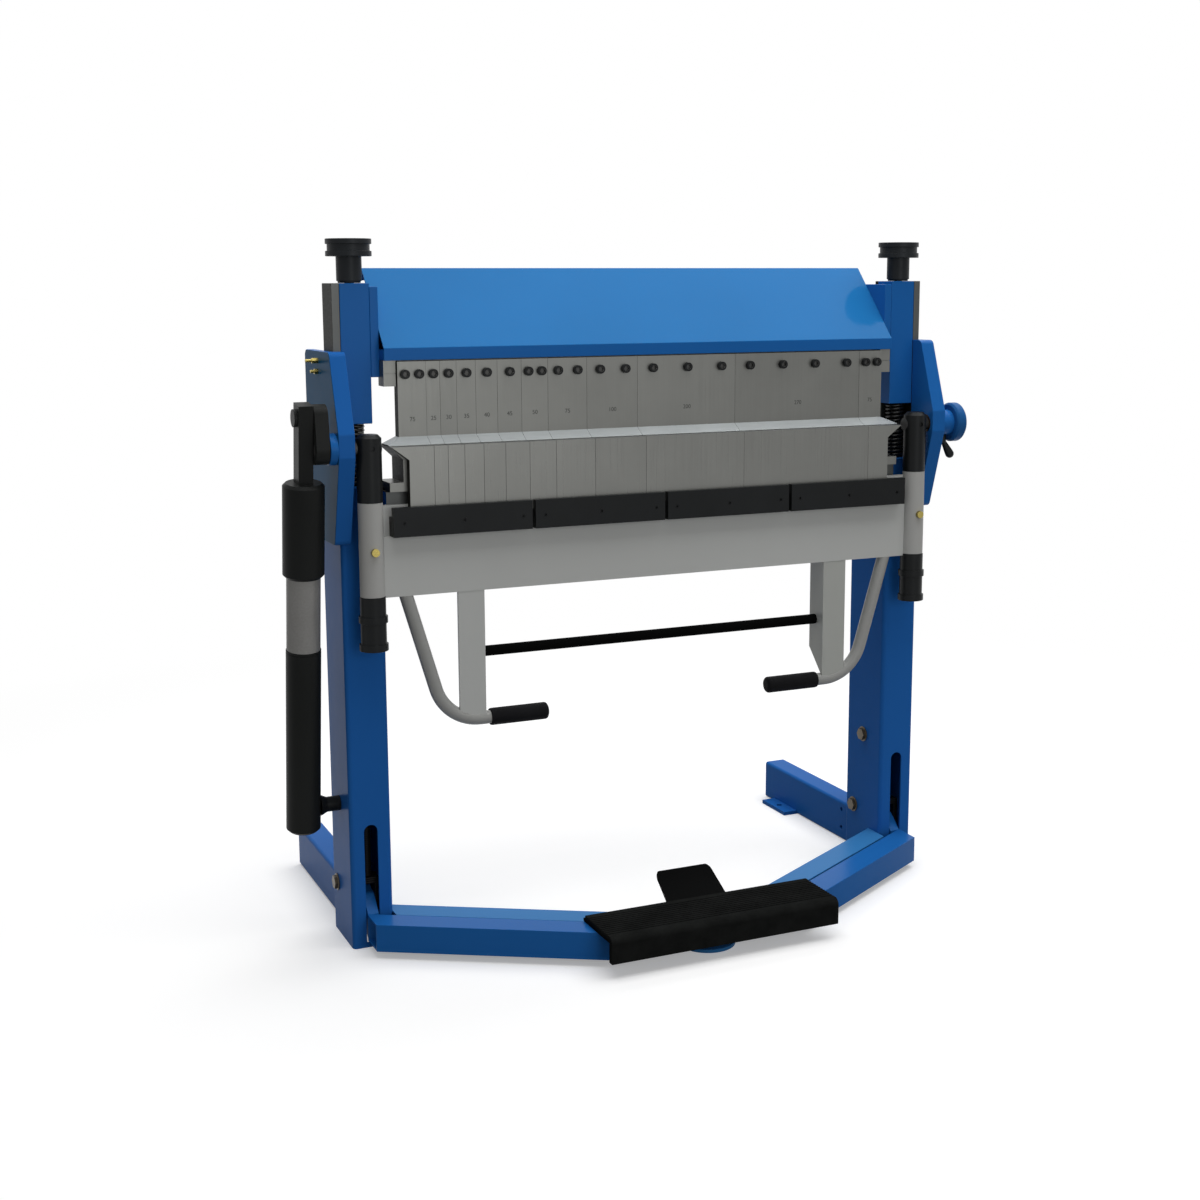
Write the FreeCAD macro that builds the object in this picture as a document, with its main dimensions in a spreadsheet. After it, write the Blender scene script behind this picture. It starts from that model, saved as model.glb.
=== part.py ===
import FreeCAD
import Part
import Sketcher
import math
import os

# Manual folding machine for sheet metal, on its own stand.
# Frame: X to the right, Y to the rear, Z up, millimetres.
# The origin lies on the floor, straight below the middle of the bend line.

os.makedirs("parts", exist_ok=True)
doc = FreeCAD.newDocument("FoldingMachine")
sheet = doc.addObject("Spreadsheet::Sheet", "Sizes")
sheet.Label = "Sizes"

SIZES = {
    # Bend line, side axes and clearances
    "bend_height": 900.0,
    "side_axis": 551.0,
    "slide_axis_y": 72.0,
    "fit_gap": 0.05,
    "run_gap": 0.3,
    "bend_gap": 0.3,
    # Columns
    "column_front": 36.0,
    "column_width": 75.0,
    "column_depth": 130.0,
    "column_height": 828.0,
    "column_wall": 4.0,
    "column_corner": 8.0,
    "column_cap": 10.0,
    "slot_width": 25.0,
    "slot_sill": 9.0,
    "slot_top": 227.0,
    "lever_pivot_y": 134.6,
    "lever_pivot_z": 95.0,
    "lever_bolt": 14.0,
    "hex_size": 22.0,
    "hex_height": 8.0,
    "anchor_y": 103.0,
    "anchor_z": 254.0,
    "anchor_bolt": 12.0,
    # Rear feet
    "foot_inset": 7.0,
    "foot_width": 50.0,
    "foot_height": 83.0,
    "foot_length": 353.0,
    "foot_wall": 4.0,
    "foot_corner": 6.0,
    "tab_width": 31.0,
    "tab_length": 100.0,
    "tab_thickness": 8.0,
    "tab_from_end": 41.0,
    "tab_hole": 13.0,
    "foot_hole": 9.0,
    "foot_hole_in": 24.0,
    "foot_hole_low": 27.0,
    "foot_hole_high": 66.0,
    # Base stretcher and its round centre foot
    "stretcher_section": 50.0,
    "stretcher_base": 10.0,
    "stretcher_y": -155.0,
    "stretcher_knee": 163.7,
    "stretcher_slant": 30.0,
    "stretcher_wall": 4.0,
    "pad_diameter": 104.0,
    "pad_thickness": 6.5,
    "pad_stem": 24.0,
    "pad_forward": 40.0,
    # Guides
    "guide_front": 50.0,
    "guide_inner": 24.0,
    "guide_height": 346.0,
    "guide_back": 13.0,
    "guide_reach": 26.0,
    "key_width": 12.0,
    "key_height": 8.0,
    "block_depth": 48.7,
    # Cheeks
    "cheek_seat": 15.0,
    "cheek_top": 1060.0,
    "cheek_top_front": 22.5,
    "cheek_nose": 25.0,
    "cheek_nose_high": 25.0,
    "cheek_nose_low": 14.0,
    "cheek_bottom": 733.0,
    "cheek_bottom_front": 20.0,
    "cheek_bottom_back": 150.0,
    "cheek_back": 188.0,
    "cheek_back_low": 800.0,
    "cheek_round": 12.0,
    "bush_outer": 34.0,
    "shaft_diameter": 24.0,
    "boss_diameter": 54.0,
    # Lubrication fittings on the left cheek
    "nipple_a_y": 96.0,
    "nipple_a_z": 1043.5,
    "nipple_a_length": 22.0,
    "nipple_b_y": 99.0,
    "nipple_b_z": 1025.0,
    "nipple_b_length": 13.0,
    "nipple_diameter": 9.0,
    # Lower beam
    "beam_front": 14.0,
    "beam_low": 690.0,
    "beam_high": 822.0,
    "beam_flange_top": 120.0,
    "beam_flange_low": 100.0,
    "beam_flange": 25.0,
    "beam_web_front": 50.0,
    "beam_web": 24.0,
    # Segments: widths from left to right, then their sections
    "segment_gap": 0.3,
    "horn_left": 75.0,
    "segment_a": 25.0,
    "segment_b": 30.0,
    "segment_c": 35.0,
    "segment_d": 40.0,
    "segment_e": 45.0,
    "segment_f": 50.0,
    "segment_g": 75.0,
    "segment_h": 100.0,
    "segment_i": 200.0,
    "segment_j": 270.0,
    "horn_right": 75.0,
    "horn_reach": 24.5,
    "horn_slope": 11.5,
    "horn_tip": 2.0,
    "bed_depth": 68.0,
    "rail_top": 848.0,
    "nose_setback": 1.2,
    "nose_land": 0.6,
    "nose_slope_run": 21.3,
    "nose_slope_rise": 12.9,
    "segment_thickness": 20.0,
    "segment_top": 1042.0,
    "bolt_z": 1020.5,
    "bolt_head": 16.0,
    "bolt_head_height": 8.0,
    "bolt_shank": 10.0,
    "bolt_socket": 8.0,
    "bolt_reach": 12.0,
    "bolt_pitch": 70.0,
    # Tool holder
    "holder_back": 100.0,
    "holder_low": 1000.0,
    "holder_high": 1044.0,
    "lug_front": 28.5,
    "lug_gap": 0.8,
    "lug_groove": 2.0,
    # Upper beam and hood
    "hood_front": 22.6,
    "hood_lip": 21.0,
    "hood_run": 127.0,
    "hood_rise": 135.3,
    "hood_sheet": 2.5,
    "hood_flange": 22.0,
    "beam_half": 508.0,
    "end_plate": 15.0,
    "end_plate_drop": 6.0,
    "end_plate_low": 1015.0,
    "base_plate": 18.0,
    "web_front": 118.0,
    "web_thickness": 12.0,
    # Sliders, tie rods, springs and handwheels
    "spring_room": 108.0,
    "rod_diameter": 16.0,
    "rod_hole_gap": 0.6,
    "rod_rise": 62.0,
    "fork_gap": 21.0,
    "fork_cheek": 8.0,
    "fork_depth": 30.0,
    "fork_low": 16.0,
    "fork_crotch": 34.0,
    "fork_bridge": 12.0,
    "eye_gap": 0.4,
    "spring_diameter": 38.0,
    "spring_wire": 5.0,
    "spring_turns": 7.0,
    "spring_end_pitch": 5.8,
    "wheel_diameter": 78.0,
    "wheel_height": 29.4,
    "wheel_waist": 70.0,
    "wheel_flange": 9.0,
    "wheel_hub": 43.5,
    "wheel_hub_height": 41.2,
    "wheel_step": 32.0,
    "wheel_step_height": 3.3,
    # Pedal
    "pedal_gap": 8.0,
    "pedal_base": 13.0,
    "pedal_section": 50.0,
    "pedal_wall": 4.0,
    "pedal_end": 562.0,
    "pedal_end_gap": 2.0,
    "lever_thickness": 20.0,
    "lever_boss": 44.0,
    "lever_radius": 64.0,
    "lever_rest_angle": 17.0,
    "lever_pin": 14.0,
    "lever_pin_boss": 32.0,
    "lever_pin_length": 44.0,
    "plate_half": 224.0,
    "plate_thickness": 6.0,
    "plate_back": -165.5,
    "plate_front": -280.0,
    "plate_lip_low": 28.0,
    "mat_thickness": 6.5,
    "mat_back_margin": 7.0,
    "mat_round": 12.0,
    "rib_pitch": 8.0,
    "rib_groove": 3.0,
    "rib_depth": 2.0,
    "toe_half_root": 59.0,
    "toe_half_tip": 55.0,
    "toe_length": 78.4,
    "toe_slope": 29.8,
    "toe_thickness": 5.0,
    "toe_round": 16.0,
    # Folding beam
    "blade_thickness": 15.2,
    "blade_low": 781.0,
    "blade_body": 30.7,
    "blade_horn": 23.0,
    "strip_thickness": 12.0,
    "strip_low": 747.5,
    "strip_high": 798.0,
    "strip_length": 252.0,
    "strip_gap": 6.0,
    "strip_screw_z": 771.0,
    "strip_screw_in": 18.0,
    "strip_screw_head": 10.0,
    "strip_screw_shank": 6.0,
    "swing_front": -8.0,
    "swing_back": 12.0,
    "swing_low": 642.0,
    "swing_high": 800.0,
    "swing_half": 534.0,
    "arm_axis": 547.0,
    "arm_axis_y": -5.3,
    "sleeve_diameter": 42.8,
    "sleeve_low": 639.0,
    "sleeve_high": 808.0,
    "block_diameter": 43.4,
    "pivot_block_top": 923.0,
    "pivot_block_chamfer": 6.0,
    "stem_diameter": 28.0,
    "stem_low": 562.0,
    "grub_diameter": 9.0,
    "grub_depth": 3.0,
    "nut_diameter": 44.6,
    "nut_ring": 50.0,
    "nut_low": 548.5,
    "nut_ring_height": 12.3,
    "nut_ring_high": 597.0,
    "sleeve_screw_z": 724.6,
    "sleeve_screw_head": 14.0,
    "sleeve_screw_height": 7.0,
    "sleeve_screw_shank": 8.0,
    # Brace legs, brace rod and handles
    "leg_inner": 345.5,
    "leg_width": 49.0,
    "leg_front": -7.0,
    "leg_depth": 50.0,
    "leg_low_front": 415.0,
    "leg_low_back": 467.0,
    "leg_wall": 6.0,
    "brace_diameter": 19.0,
    "brace_y": 23.5,
    "brace_z": 525.0,
    "handle_diameter": 24.0,
    "handle_y": 2.0,
    "handle_z": 409.0,
    "handle_end": 230.5,
    "handle_top": 486.0,
    "handle_slope": 73.7,
    "handle_bend": 85.0,
    "grip_length": 105.5,
    "grip_diameter": 31.0,
    # Weight balancer on the left side
    "crank_inner": 617.0,
    "crank_thickness": 23.7,
    "crank_hub": 50.0,
    "crank_end": 44.0,
    "crank_pin_y": 4.0,
    "crank_pin_rise": 54.0,
    "crank_pin": 20.0,
    "crank_pin_head": 30.0,
    "crank_pin_head_height": 6.0,
    "strut_clear": 13.3,
    "bar_thickness": 25.0,
    "bar_depth": 36.0,
    "bar_over": 23.0,
    "cup_diameter": 71.0,
    "cup_low": 417.0,
    "cup_high": 582.0,
    "cup_chamfer": 5.0,
    "cup_top": 10.0,
    "liner_diameter": 57.4,
    "liner_wall": 4.0,
    "liner_top": 452.0,
    "liner_overlap": 40.0,
    "tube_diameter": 59.0,
    "tube_wall": 3.0,
    "tube_bottom": 46.0,
    "tube_top": 286.0,
    "tube_plug": 40.0,
    "anchor_spacer": 27.0,
    "anchor_flare": 38.0,
    "anchor_end_gap": 7.0,
    # Angle stop on the right side
    "collar_diameter": 49.0,
    "collar_width": 23.0,
    "disc_diameter": 76.0,
    "disc_width": 22.0,
    "disc_chamfer": 4.0,
    "disc_cover": 6.0,
    "clamp_x": 615.0,
    "clamp_screw": 8.0,
    "clamp_hub": 16.0,
    "clamp_hub_height": 15.0,
    "clamp_arm": 36.0,
    "clamp_arm_thin": 4.5,
    "clamp_arm_thick": 6.5,
    "clamp_slope": 32.0,
}


class Size:
    """A length or an angle that follows the sheet: its expression and its present value."""

    def __init__(self, words, value):
        self.words = words
        self.value = value

    def __add__(self, other):
        return Size("(%s + %s)" % (self.words, words(other)), self.value + number(other))

    def __radd__(self, other):
        return Size("(%s + %s)" % (words(other), self.words), number(other) + self.value)

    def __sub__(self, other):
        return Size("(%s - %s)" % (self.words, words(other)), self.value - number(other))

    def __rsub__(self, other):
        return Size("(%s - %s)" % (words(other), self.words), number(other) - self.value)

    def __mul__(self, other):
        return Size("(%s * %s)" % (self.words, words(other)), self.value * number(other))

    def __rmul__(self, other):
        return Size("(%s * %s)" % (words(other), self.words), number(other) * self.value)

    def __truediv__(self, other):
        return Size("(%s / %s)" % (self.words, words(other)), self.value / number(other))

    def __neg__(self):
        return Size("(0 - %s)" % self.words, -self.value)


def words(value):
    """Expression of a size or of a plain number."""
    return value.words if isinstance(value, Size) else repr(float(value))


def number(value):
    """Present value of a size or of a plain number."""
    return value.value if isinstance(value, Size) else float(value)


def sine(angle):
    """Sine of an angle in degrees."""
    return Size("sin(%s)" % words(angle), math.sin(math.radians(number(angle))))


def cosine(angle):
    """Cosine of an angle in degrees."""
    return Size("cos(%s)" % words(angle), math.cos(math.radians(number(angle))))


def tangent(angle):
    """Tangent of an angle in degrees."""
    return Size("tan(%s)" % words(angle), math.tan(math.radians(number(angle))))


def root(value):
    """Square root of a size."""
    return Size("sqrt(%s)" % words(value), math.sqrt(number(value)))


for row, (alias, value) in enumerate(SIZES.items(), start=1):
    sheet.set("A%d" % row, alias)
    sheet.set("B%d" % row, str(value))
    sheet.setAlias("B%d" % row, alias)
doc.recompute()


def size(alias):
    """The sheet's size of that name, as it stands in the sheet now."""
    return Size("Sizes." + alias, float(sheet.get(alias)))


nodes = []


def bind(thing, path, value):
    """Tie one property of an object to its expression."""
    thing.setExpression(path, words(value))


def new_body(label, pieces=1):
    """An empty body; it may hold several separate pieces."""
    body = doc.addObject("PartDesign::Body", label)
    body.Label = label
    body.AllowCompound = pieces > 1
    nodes.append(body)
    return body


def origin_plane(body, role):
    """One of the body's own three planes, by its role."""
    for feature in body.Origin.OriginFeatures:
        if feature.Role == role:
            return feature
    raise ValueError("no plane " + role)


def new_sketch(body, plane, level):
    """A sketch square to one axis, at a level along it."""
    sketch = body.newObject("Sketcher::SketchObject", body.Name + "_sketch")
    sketch.AttachmentSupport = [(origin_plane(body, plane + "_Plane"), "")]
    sketch.MapMode = "FlatFace"
    bind(sketch, ".AttachmentOffset.Base.z", -level if plane == "XZ" else level)
    return sketch


def pin_point(sketch, geometry, vertex, point):
    """Place one point of a sketch at two distances from the sketch's origin."""
    for kind, value in (("DistanceX", point[0]), ("DistanceY", point[1])):
        sketch.addConstraint(Sketcher.Constraint(kind, -1, 1, geometry, vertex, number(value)))
        bind(sketch, "Constraints[%d]" % (sketch.ConstraintCount - 1), value)


def draw(sketch, loop):
    """Draw one closed loop: corner points, or a centre with a radius."""
    first = sketch.GeometryCount
    if isinstance(loop, dict):
        centre = FreeCAD.Vector(number(loop["centre"][0]), number(loop["centre"][1]), 0)
        sketch.addGeometry(Part.Circle(centre, FreeCAD.Vector(0, 0, 1), number(loop["radius"])))
        pin_point(sketch, first, 3, loop["centre"])
        sketch.addConstraint(Sketcher.Constraint("Radius", first, number(loop["radius"])))
        bind(sketch, "Constraints[%d]" % (sketch.ConstraintCount - 1), loop["radius"])
        return
    corners = [FreeCAD.Vector(number(u), number(v), 0) for u, v in loop]
    count = len(corners)
    sketch.addGeometry([Part.LineSegment(corners[i], corners[(i + 1) % count]) for i in range(count)])
    ties = [
        Sketcher.Constraint("Coincident", first + i, 2, first + (i + 1) % count, 1)
        for i in range(count)
    ]
    for i, (u, v) in enumerate(loop):
        ties.append(Sketcher.Constraint("DistanceX", -1, 1, first + i, 1, number(u)))
        ties.append(Sketcher.Constraint("DistanceY", -1, 1, first + i, 1, number(v)))
    start = sketch.ConstraintCount + count
    sketch.addConstraint(ties)
    for i, (u, v) in enumerate(loop):
        bind(sketch, "Constraints[%d]" % (start + 2 * i), u)
        bind(sketch, "Constraints[%d]" % (start + 2 * i + 1), v)


def extrude(body, kind, plane, loops, low, high):
    """Add or cut a prism between two levels along the axis square to its plane."""
    sketch = new_sketch(body, plane, high if plane == "XZ" else low)
    for loop in loops:
        draw(sketch, loop)
    feature = body.newObject("PartDesign::" + kind, body.Name + "_" + kind.lower())
    feature.Profile = sketch
    feature.Reversed = kind == "Pocket"
    bind(feature, "Length", high - low)
    return feature


def prism(body, plane, loops, low, high):
    """Add a prism."""
    return extrude(body, "Pad", plane, loops, low, high)


def recess(body, plane, loops, low, high):
    """Cut a prism."""
    return extrude(body, "Pocket", plane, loops, low, high)


def turned(body, axis, loop, kind="Revolution"):
    """Turn a half section: (along, radius) about X, or (radius, along) about Z."""
    sketch = new_sketch(body, "XY" if axis == "X" else "XZ", Size("0", 0.0))
    draw(sketch, loop)
    feature = body.newObject("PartDesign::" + kind, body.Name + "_" + kind.lower())
    feature.Profile = sketch
    feature.ReferenceAxis = (sketch, ["H_Axis" if axis == "X" else "V_Axis"])
    feature.Angle = 360.0
    return feature


def place(thing, x, y, z):
    """Set a body's place from sizes."""
    for path, value in (("x", x), ("y", y), ("z", z)):
        bind(thing, ".Placement.Base." + path, value)


def box(u0, v0, u1, v1):
    """Corner points of a rectangle."""
    return [(u0, v0), (u1, v0), (u1, v1), (u0, v1)]


def circle(u, v, diameter):
    """A circle by its centre and diameter."""
    return {"centre": (u, v), "radius": diameter / 2}


def hexagon(u, v, flats):
    """Corner points of a hexagon by its width across flats."""
    reach = flats / math.sqrt(3.0)
    corners = []
    for step in range(6):
        angle = math.radians(60 * step)
        corners.append((u + reach * math.cos(angle), v + reach * math.sin(angle)))
    return corners


def matching_edges(shape, axis, corners):
    """Names of the straight edges along an axis that pass through the given corners."""
    along = "XYZ".index(axis)
    across = [i for i in range(3) if i != along]
    names = []
    for index, edge in enumerate(shape.Edges, start=1):
        ends = edge.Vertexes
        if len(ends) != 2 or edge.Curve.TypeId != "Part::GeomLine":
            continue
        start, stop = ends[0].Point, ends[1].Point
        if max(abs(start[i] - stop[i]) for i in across) > 0.001:
            continue
        for corner in corners:
            if all(abs(start[across[k]] - number(corner[k])) < 0.01 for k in range(2)):
                names.append("Edge%d" % index)
    return names


def soften(body, kind, amount, axis, corners):
    """Round or bevel the straight edges along an axis that pass through the given corners."""
    doc.recompute()
    base = body.Tip
    names = matching_edges(base.Shape, axis, corners)
    if not names:
        raise ValueError("no edge to soften on " + body.Label)
    feature = body.newObject("PartDesign::" + kind, body.Name + "_" + kind.lower())
    feature.Base = (base, names)
    bind(feature, "Radius" if kind == "Fillet" else "Size", amount)
    return feature


def mirrored(source, label):
    """The same piece on the other side of the machine."""
    piece = doc.addObject("Part::Mirroring", label)
    piece.Label = label
    piece.Source = source
    piece.Base = FreeCAD.Vector(0, 0, 0)
    piece.Normal = FreeCAD.Vector(1, 0, 0)
    nodes.append(piece)
    return piece


# Shared positions
axis_x = size("side_axis")
bend_z = size("bend_height")
column_x0 = axis_x - size("column_width") / 2
column_x1 = axis_x + size("column_width") / 2
column_y0 = size("column_front")
column_y1 = column_y0 + size("column_depth")
column_top = size("column_height")
cheek_x0 = axis_x + size("guide_inner")
cheek_x1 = column_x1 + size("cheek_seat")
guide_top = column_top + size("guide_height")
block_top = guide_top
block_low = column_top + size("spring_room")
rod_top = block_top + size("rod_rise")
strut_axis = size("crank_inner") + size("crank_thickness") + size("strut_clear")
pin_y = size("lever_pivot_y") - size("lever_radius") * cosine(size("lever_rest_angle"))
pin_z = size("lever_pivot_z") - size("lever_radius") * sine(size("lever_rest_angle"))
shaft_hole = size("shaft_diameter") + 2 * size("fit_gap")

WIDTHS = [
    "horn_left", "segment_a", "segment_b", "segment_c", "segment_d", "segment_e",
    "segment_f", "segment_g", "segment_h", "segment_i", "segment_j", "horn_right",
]


def segment_borders():
    """Borders of the segments along X, from left to right, centred on the machine."""
    total = size(WIDTHS[0])
    for alias in WIDTHS[1:]:
        total = total + size(alias)
    border = -total / 2
    borders = [border]
    for alias in WIDTHS:
        border = border + size(alias)
        borders.append(border)
    return borders


borders = segment_borders()
plate_left = borders[0] + size("horn_reach")
plate_right = borders[-1] - size("horn_reach")


def slits(low, high):
    """Narrow gaps between neighbouring segments, as loops seen from above."""
    half = size("segment_gap") / 2
    return [box(border - half, low, border + half, high) for border in borders[1:-1]]


def bolt_positions():
    """Bolts of each clamping segment: one in narrow ones, more in wide ones, evenly about its middle."""
    places = []
    edges = [plate_left] + borders[1:-1] + [plate_right]
    for left, right in zip(edges[:-1], edges[1:]):
        width = right - left
        count = 1 if number(width) < 49 else 2
        pitch = width / 2
        if number(width) > 2.2 * number(size("bolt_pitch")):
            count = math.ceil(number(width) / number(size("bolt_pitch")))
            pitch = size("bolt_pitch")
        for step in range(count):
            places.append((left + right) / 2 + pitch * (step - (count - 1) / 2))
    return places


# Stand

def make_column():
    """Square post: capped tube with a front slot for the pedal lever and cross bolt holes."""
    body = new_body("column_right")
    wall = size("column_wall")
    corner = box(column_x0, column_y0, column_x1, column_y1)
    prism(body, "XY", [corner], Size("0", 0.0), column_top)
    soften(body, "Fillet", size("column_corner"), "Z", corner)
    bore = box(column_x0 + wall, column_y0 + wall, column_x1 - wall, column_y1 - wall)
    recess(body, "XY", [bore], Size("0", 0.0), column_top - size("column_cap"))
    soften(body, "Fillet", size("column_corner") - wall, "Z", bore)
    half = size("slot_width") / 2
    round_z = size("slot_top") - half
    slot = box(axis_x - half, size("slot_sill"), axis_x + half, round_z)
    recess(body, "XZ", [slot], column_y0 - 1, column_y0 + 2 * wall)
    recess(body, "XZ", [circle(axis_x, round_z, size("slot_width"))], column_y0 - 1, column_y0 + 2 * wall)
    holes = [
        circle(size("lever_pivot_y"), size("lever_pivot_z"), size("lever_bolt") + 2 * size("fit_gap")),
        circle(size("anchor_y"), size("anchor_z"), size("anchor_bolt") + 2 * size("fit_gap")),
    ]
    recess(body, "YZ", holes, column_x0 - 1, column_x1 + 1)
    rod = circle(axis_x, size("slide_axis_y"), size("rod_diameter") + 2 * size("rod_hole_gap"))
    recess(body, "XY", [rod], column_top - 2 * size("column_cap"), column_top + 1)
    mirrored(body, "column_left")


def make_rear_foot():
    """Rear outrigger: upright rectangular tube with a drilled floor tab on its inner side."""
    body = new_body("rear_foot_right")
    wall = size("foot_wall")
    middle = axis_x - size("foot_inset")
    x0 = middle - size("foot_width") / 2
    x1 = middle + size("foot_width") / 2
    end = column_y1 + size("foot_length")
    low = Size("0", 0.0)
    outline = box(x0, low, x1, size("foot_height"))
    prism(body, "XZ", [outline], column_y1, end)
    soften(body, "Fillet", size("foot_corner"), "Y", outline)
    bore = box(x0 + wall, wall, x1 - wall, size("foot_height") - wall)
    recess(body, "XZ", [bore], column_y1, end - wall)
    tab_end = end - size("tab_from_end")
    tab = box(x0 - size("tab_width"), tab_end - size("tab_length"), x0 + size("foot_corner"), tab_end)
    prism(body, "XY", [tab], low, size("tab_thickness"))
    hole = circle(x0 - size("tab_width") / 2, tab_end - size("tab_length") / 2, size("tab_hole"))
    recess(body, "XY", [hole], low, size("tab_thickness"))
    hole_y = column_y1 + size("foot_hole_in")
    holes = [
        circle(hole_y, size("foot_hole_low"), size("foot_hole")),
        circle(hole_y, size("foot_hole_high"), size("foot_hole")),
    ]
    recess(body, "YZ", holes, x0 - 1, x0 + wall)
    mirrored(body, "rear_foot_left")


def bent_bar(centre_y, knee, half, end_x, shrink):
    """Outline from above of a bar with two knees: straight in the middle, slanting back to both ends."""
    slope = tangent(size("stretcher_slant"))
    shift = half * tangent(size("stretcher_slant") / 2)
    run = half / cosine(size("stretcher_slant"))
    inner = knee - shift
    outer = knee + shift
    end_y = centre_y + slope * (end_x - knee)
    front = [(-end_x, end_y - run), (-outer, centre_y - half), (outer, centre_y - half), (end_x, end_y - run)]
    back = [(end_x, end_y + run), (inner, centre_y + half), (-inner, centre_y + half), (-end_x, end_y + run)]
    return front + back


def make_base_stretcher():
    """Cranked floor bar between the columns, a square tube, with a round foot in the middle."""
    body = new_body("base_stretcher")
    low = size("stretcher_base")
    high = low + size("stretcher_section")
    half = size("stretcher_section") / 2
    wall = size("stretcher_wall")
    outline = bent_bar(size("stretcher_y"), size("stretcher_knee"), half, column_x0, 0)
    prism(body, "XY", [outline], low, high)
    bore = bent_bar(size("stretcher_y"), size("stretcher_knee"), half - wall, column_x0, 0)
    recess(body, "XY", [bore], low + wall, high - wall)
    foot_y = size("stretcher_y") - size("pad_forward") / 2
    prism(body, "XY", [circle(Size("0", 0.0), foot_y, size("pad_stem"))], size("pad_thickness"), low)
    pad = circle(Size("0", 0.0), size("stretcher_y") - size("pad_forward"), size("pad_diameter"))
    prism(body, "XY", [pad], Size("0", 0.0), size("pad_thickness"))


def make_guide():
    """Machined guide on the column: outer bar, rear plate and a key that the slider block runs on."""
    body = new_body("slide_guide_right")
    front = size("guide_front")
    face = front + size("block_depth") + size("run_gap")
    back = face + size("guide_back")
    left = axis_x - size("guide_reach")
    key = size("key_width") / 2
    tip = face - size("key_height")
    outline = [
        (column_x1, front), (column_x1, back), (left, back), (left, face),
        (axis_x - key, face), (axis_x - key, tip), (axis_x + key, tip), (axis_x + key, face),
        (cheek_x0, face), (cheek_x0, front),
    ]
    prism(body, "XY", [outline], column_top, guide_top)
    mirrored(body, "slide_guide_left")


def make_cheek():
    """Side cheek that carries the pivot: thick in front, rebated to seat on column and guide."""
    body = new_body("cheek_right")
    nose = -size("cheek_nose")
    top = size("cheek_top")
    outline = [
        (size("cheek_back"), top), (size("cheek_top_front"), top),
        (nose, bend_z + size("cheek_nose_high")), (nose, bend_z - size("cheek_nose_low")),
        (size("cheek_bottom_front"), size("cheek_bottom")),
        (size("cheek_bottom_back"), size("cheek_bottom")),
        (size("cheek_back"), size("cheek_back_low")),
    ]
    prism(body, "YZ", [outline], cheek_x0, cheek_x1)
    soften(body, "Fillet", size("cheek_round"), "X", outline)
    rear = size("cheek_back") + 1
    seat = [
        (column_y0, size("cheek_bottom") - 1), (rear, size("cheek_bottom") - 1), (rear, top + 1),
        (size("guide_front"), top + 1), (size("guide_front"), column_top), (column_y0, column_top),
    ]
    recess(body, "YZ", [seat], cheek_x0, column_x1)
    hole = circle(Size("0", 0.0), bend_z, size("bush_outer"))
    recess(body, "YZ", [hole], cheek_x0, cheek_x1)
    mirrored(body, "cheek_left")


def make_pivot_boss():
    """Round boss on the left cheek, between the cheek and the crank."""
    body = new_body("pivot_boss")
    ring = [circle(Size("0", 0.0), bend_z, size("boss_diameter")), circle(Size("0", 0.0), bend_z, shaft_hole)]
    prism(body, "YZ", ring, -(size("crank_inner") - size("run_gap")), -cheek_x1)


def make_bushes():
    """Bronze bushes of the pivot shafts in the cheeks."""
    body = new_body("pivot_bushes", 2)
    ring = [circle(Size("0", 0.0), bend_z, size("bush_outer")), circle(Size("0", 0.0), bend_z, shaft_hole)]
    prism(body, "YZ", ring, cheek_x0, cheek_x1)
    prism(body, "YZ", ring, -cheek_x1, -cheek_x0)


def make_nipples():
    """Two lubrication fittings on the left cheek, one longer than the other."""
    body = new_body("grease_nipples", 2)
    for name in ("nipple_a", "nipple_b"):
        y, z = size(name + "_y"), size(name + "_z")
        tip = -cheek_x1 - size(name + "_length")
        middle = -cheek_x1 - size(name + "_length") / 2
        prism(body, "YZ", [hexagon(y, z, size("nipple_diameter"))], middle, -cheek_x1)
        prism(body, "YZ", [circle(y, z, size("nipple_diameter") * 0.6)], tip, middle)


def make_lower_beam():
    """Lower beam between the columns: flanges above and below an upright web."""
    body = new_body("lower_beam")
    front, low, high = size("beam_front"), size("beam_low"), size("beam_high")
    flange = size("beam_flange")
    web0 = size("beam_web_front")
    web1 = web0 + size("beam_web")
    outline = [
        (front, low), (size("beam_flange_low"), low), (size("beam_flange_low"), low + flange),
        (web1, low + flange), (web1, high - flange), (size("beam_flange_top"), high - flange),
        (size("beam_flange_top"), high), (front, high), (front, high - flange), (web0, high - flange),
        (web0, low + flange), (front, low + flange),
    ]
    prism(body, "YZ", [outline], -column_x0, column_x0)


def horn_cuts(tip_z, body_z, end_z, reach):
    """Loops seen from the front that leave a pointed horn at both ends of a row of segments."""
    cuts = []
    for side, end in ((-1, borders[0]), (1, borders[-1])):
        inner = end - side * reach
        outer = end + side * Size("1", 1.0)
        cuts.append([(inner, end_z), (inner, body_z), (end, tip_z), (outer, tip_z), (outer, end_z)])
    return cuts


def make_lower_segments():
    """Bed segments on the lower beam, their top front edge on the bend line."""
    body = new_body("lower_segments", 12)
    front = size("bend_gap")
    outline = box(front, size("beam_high"), size("bed_depth"), bend_z)
    prism(body, "YZ", [outline], borders[0], borders[-1])
    cuts = horn_cuts(bend_z, bend_z - size("blade_horn"), size("rail_top"), size("horn_reach"))
    recess(body, "XZ", cuts, front - 1, size("bed_depth") + 1)
    recess(body, "XY", slits(front - 1, size("bed_depth") + 1), size("beam_high"), bend_z)


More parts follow.
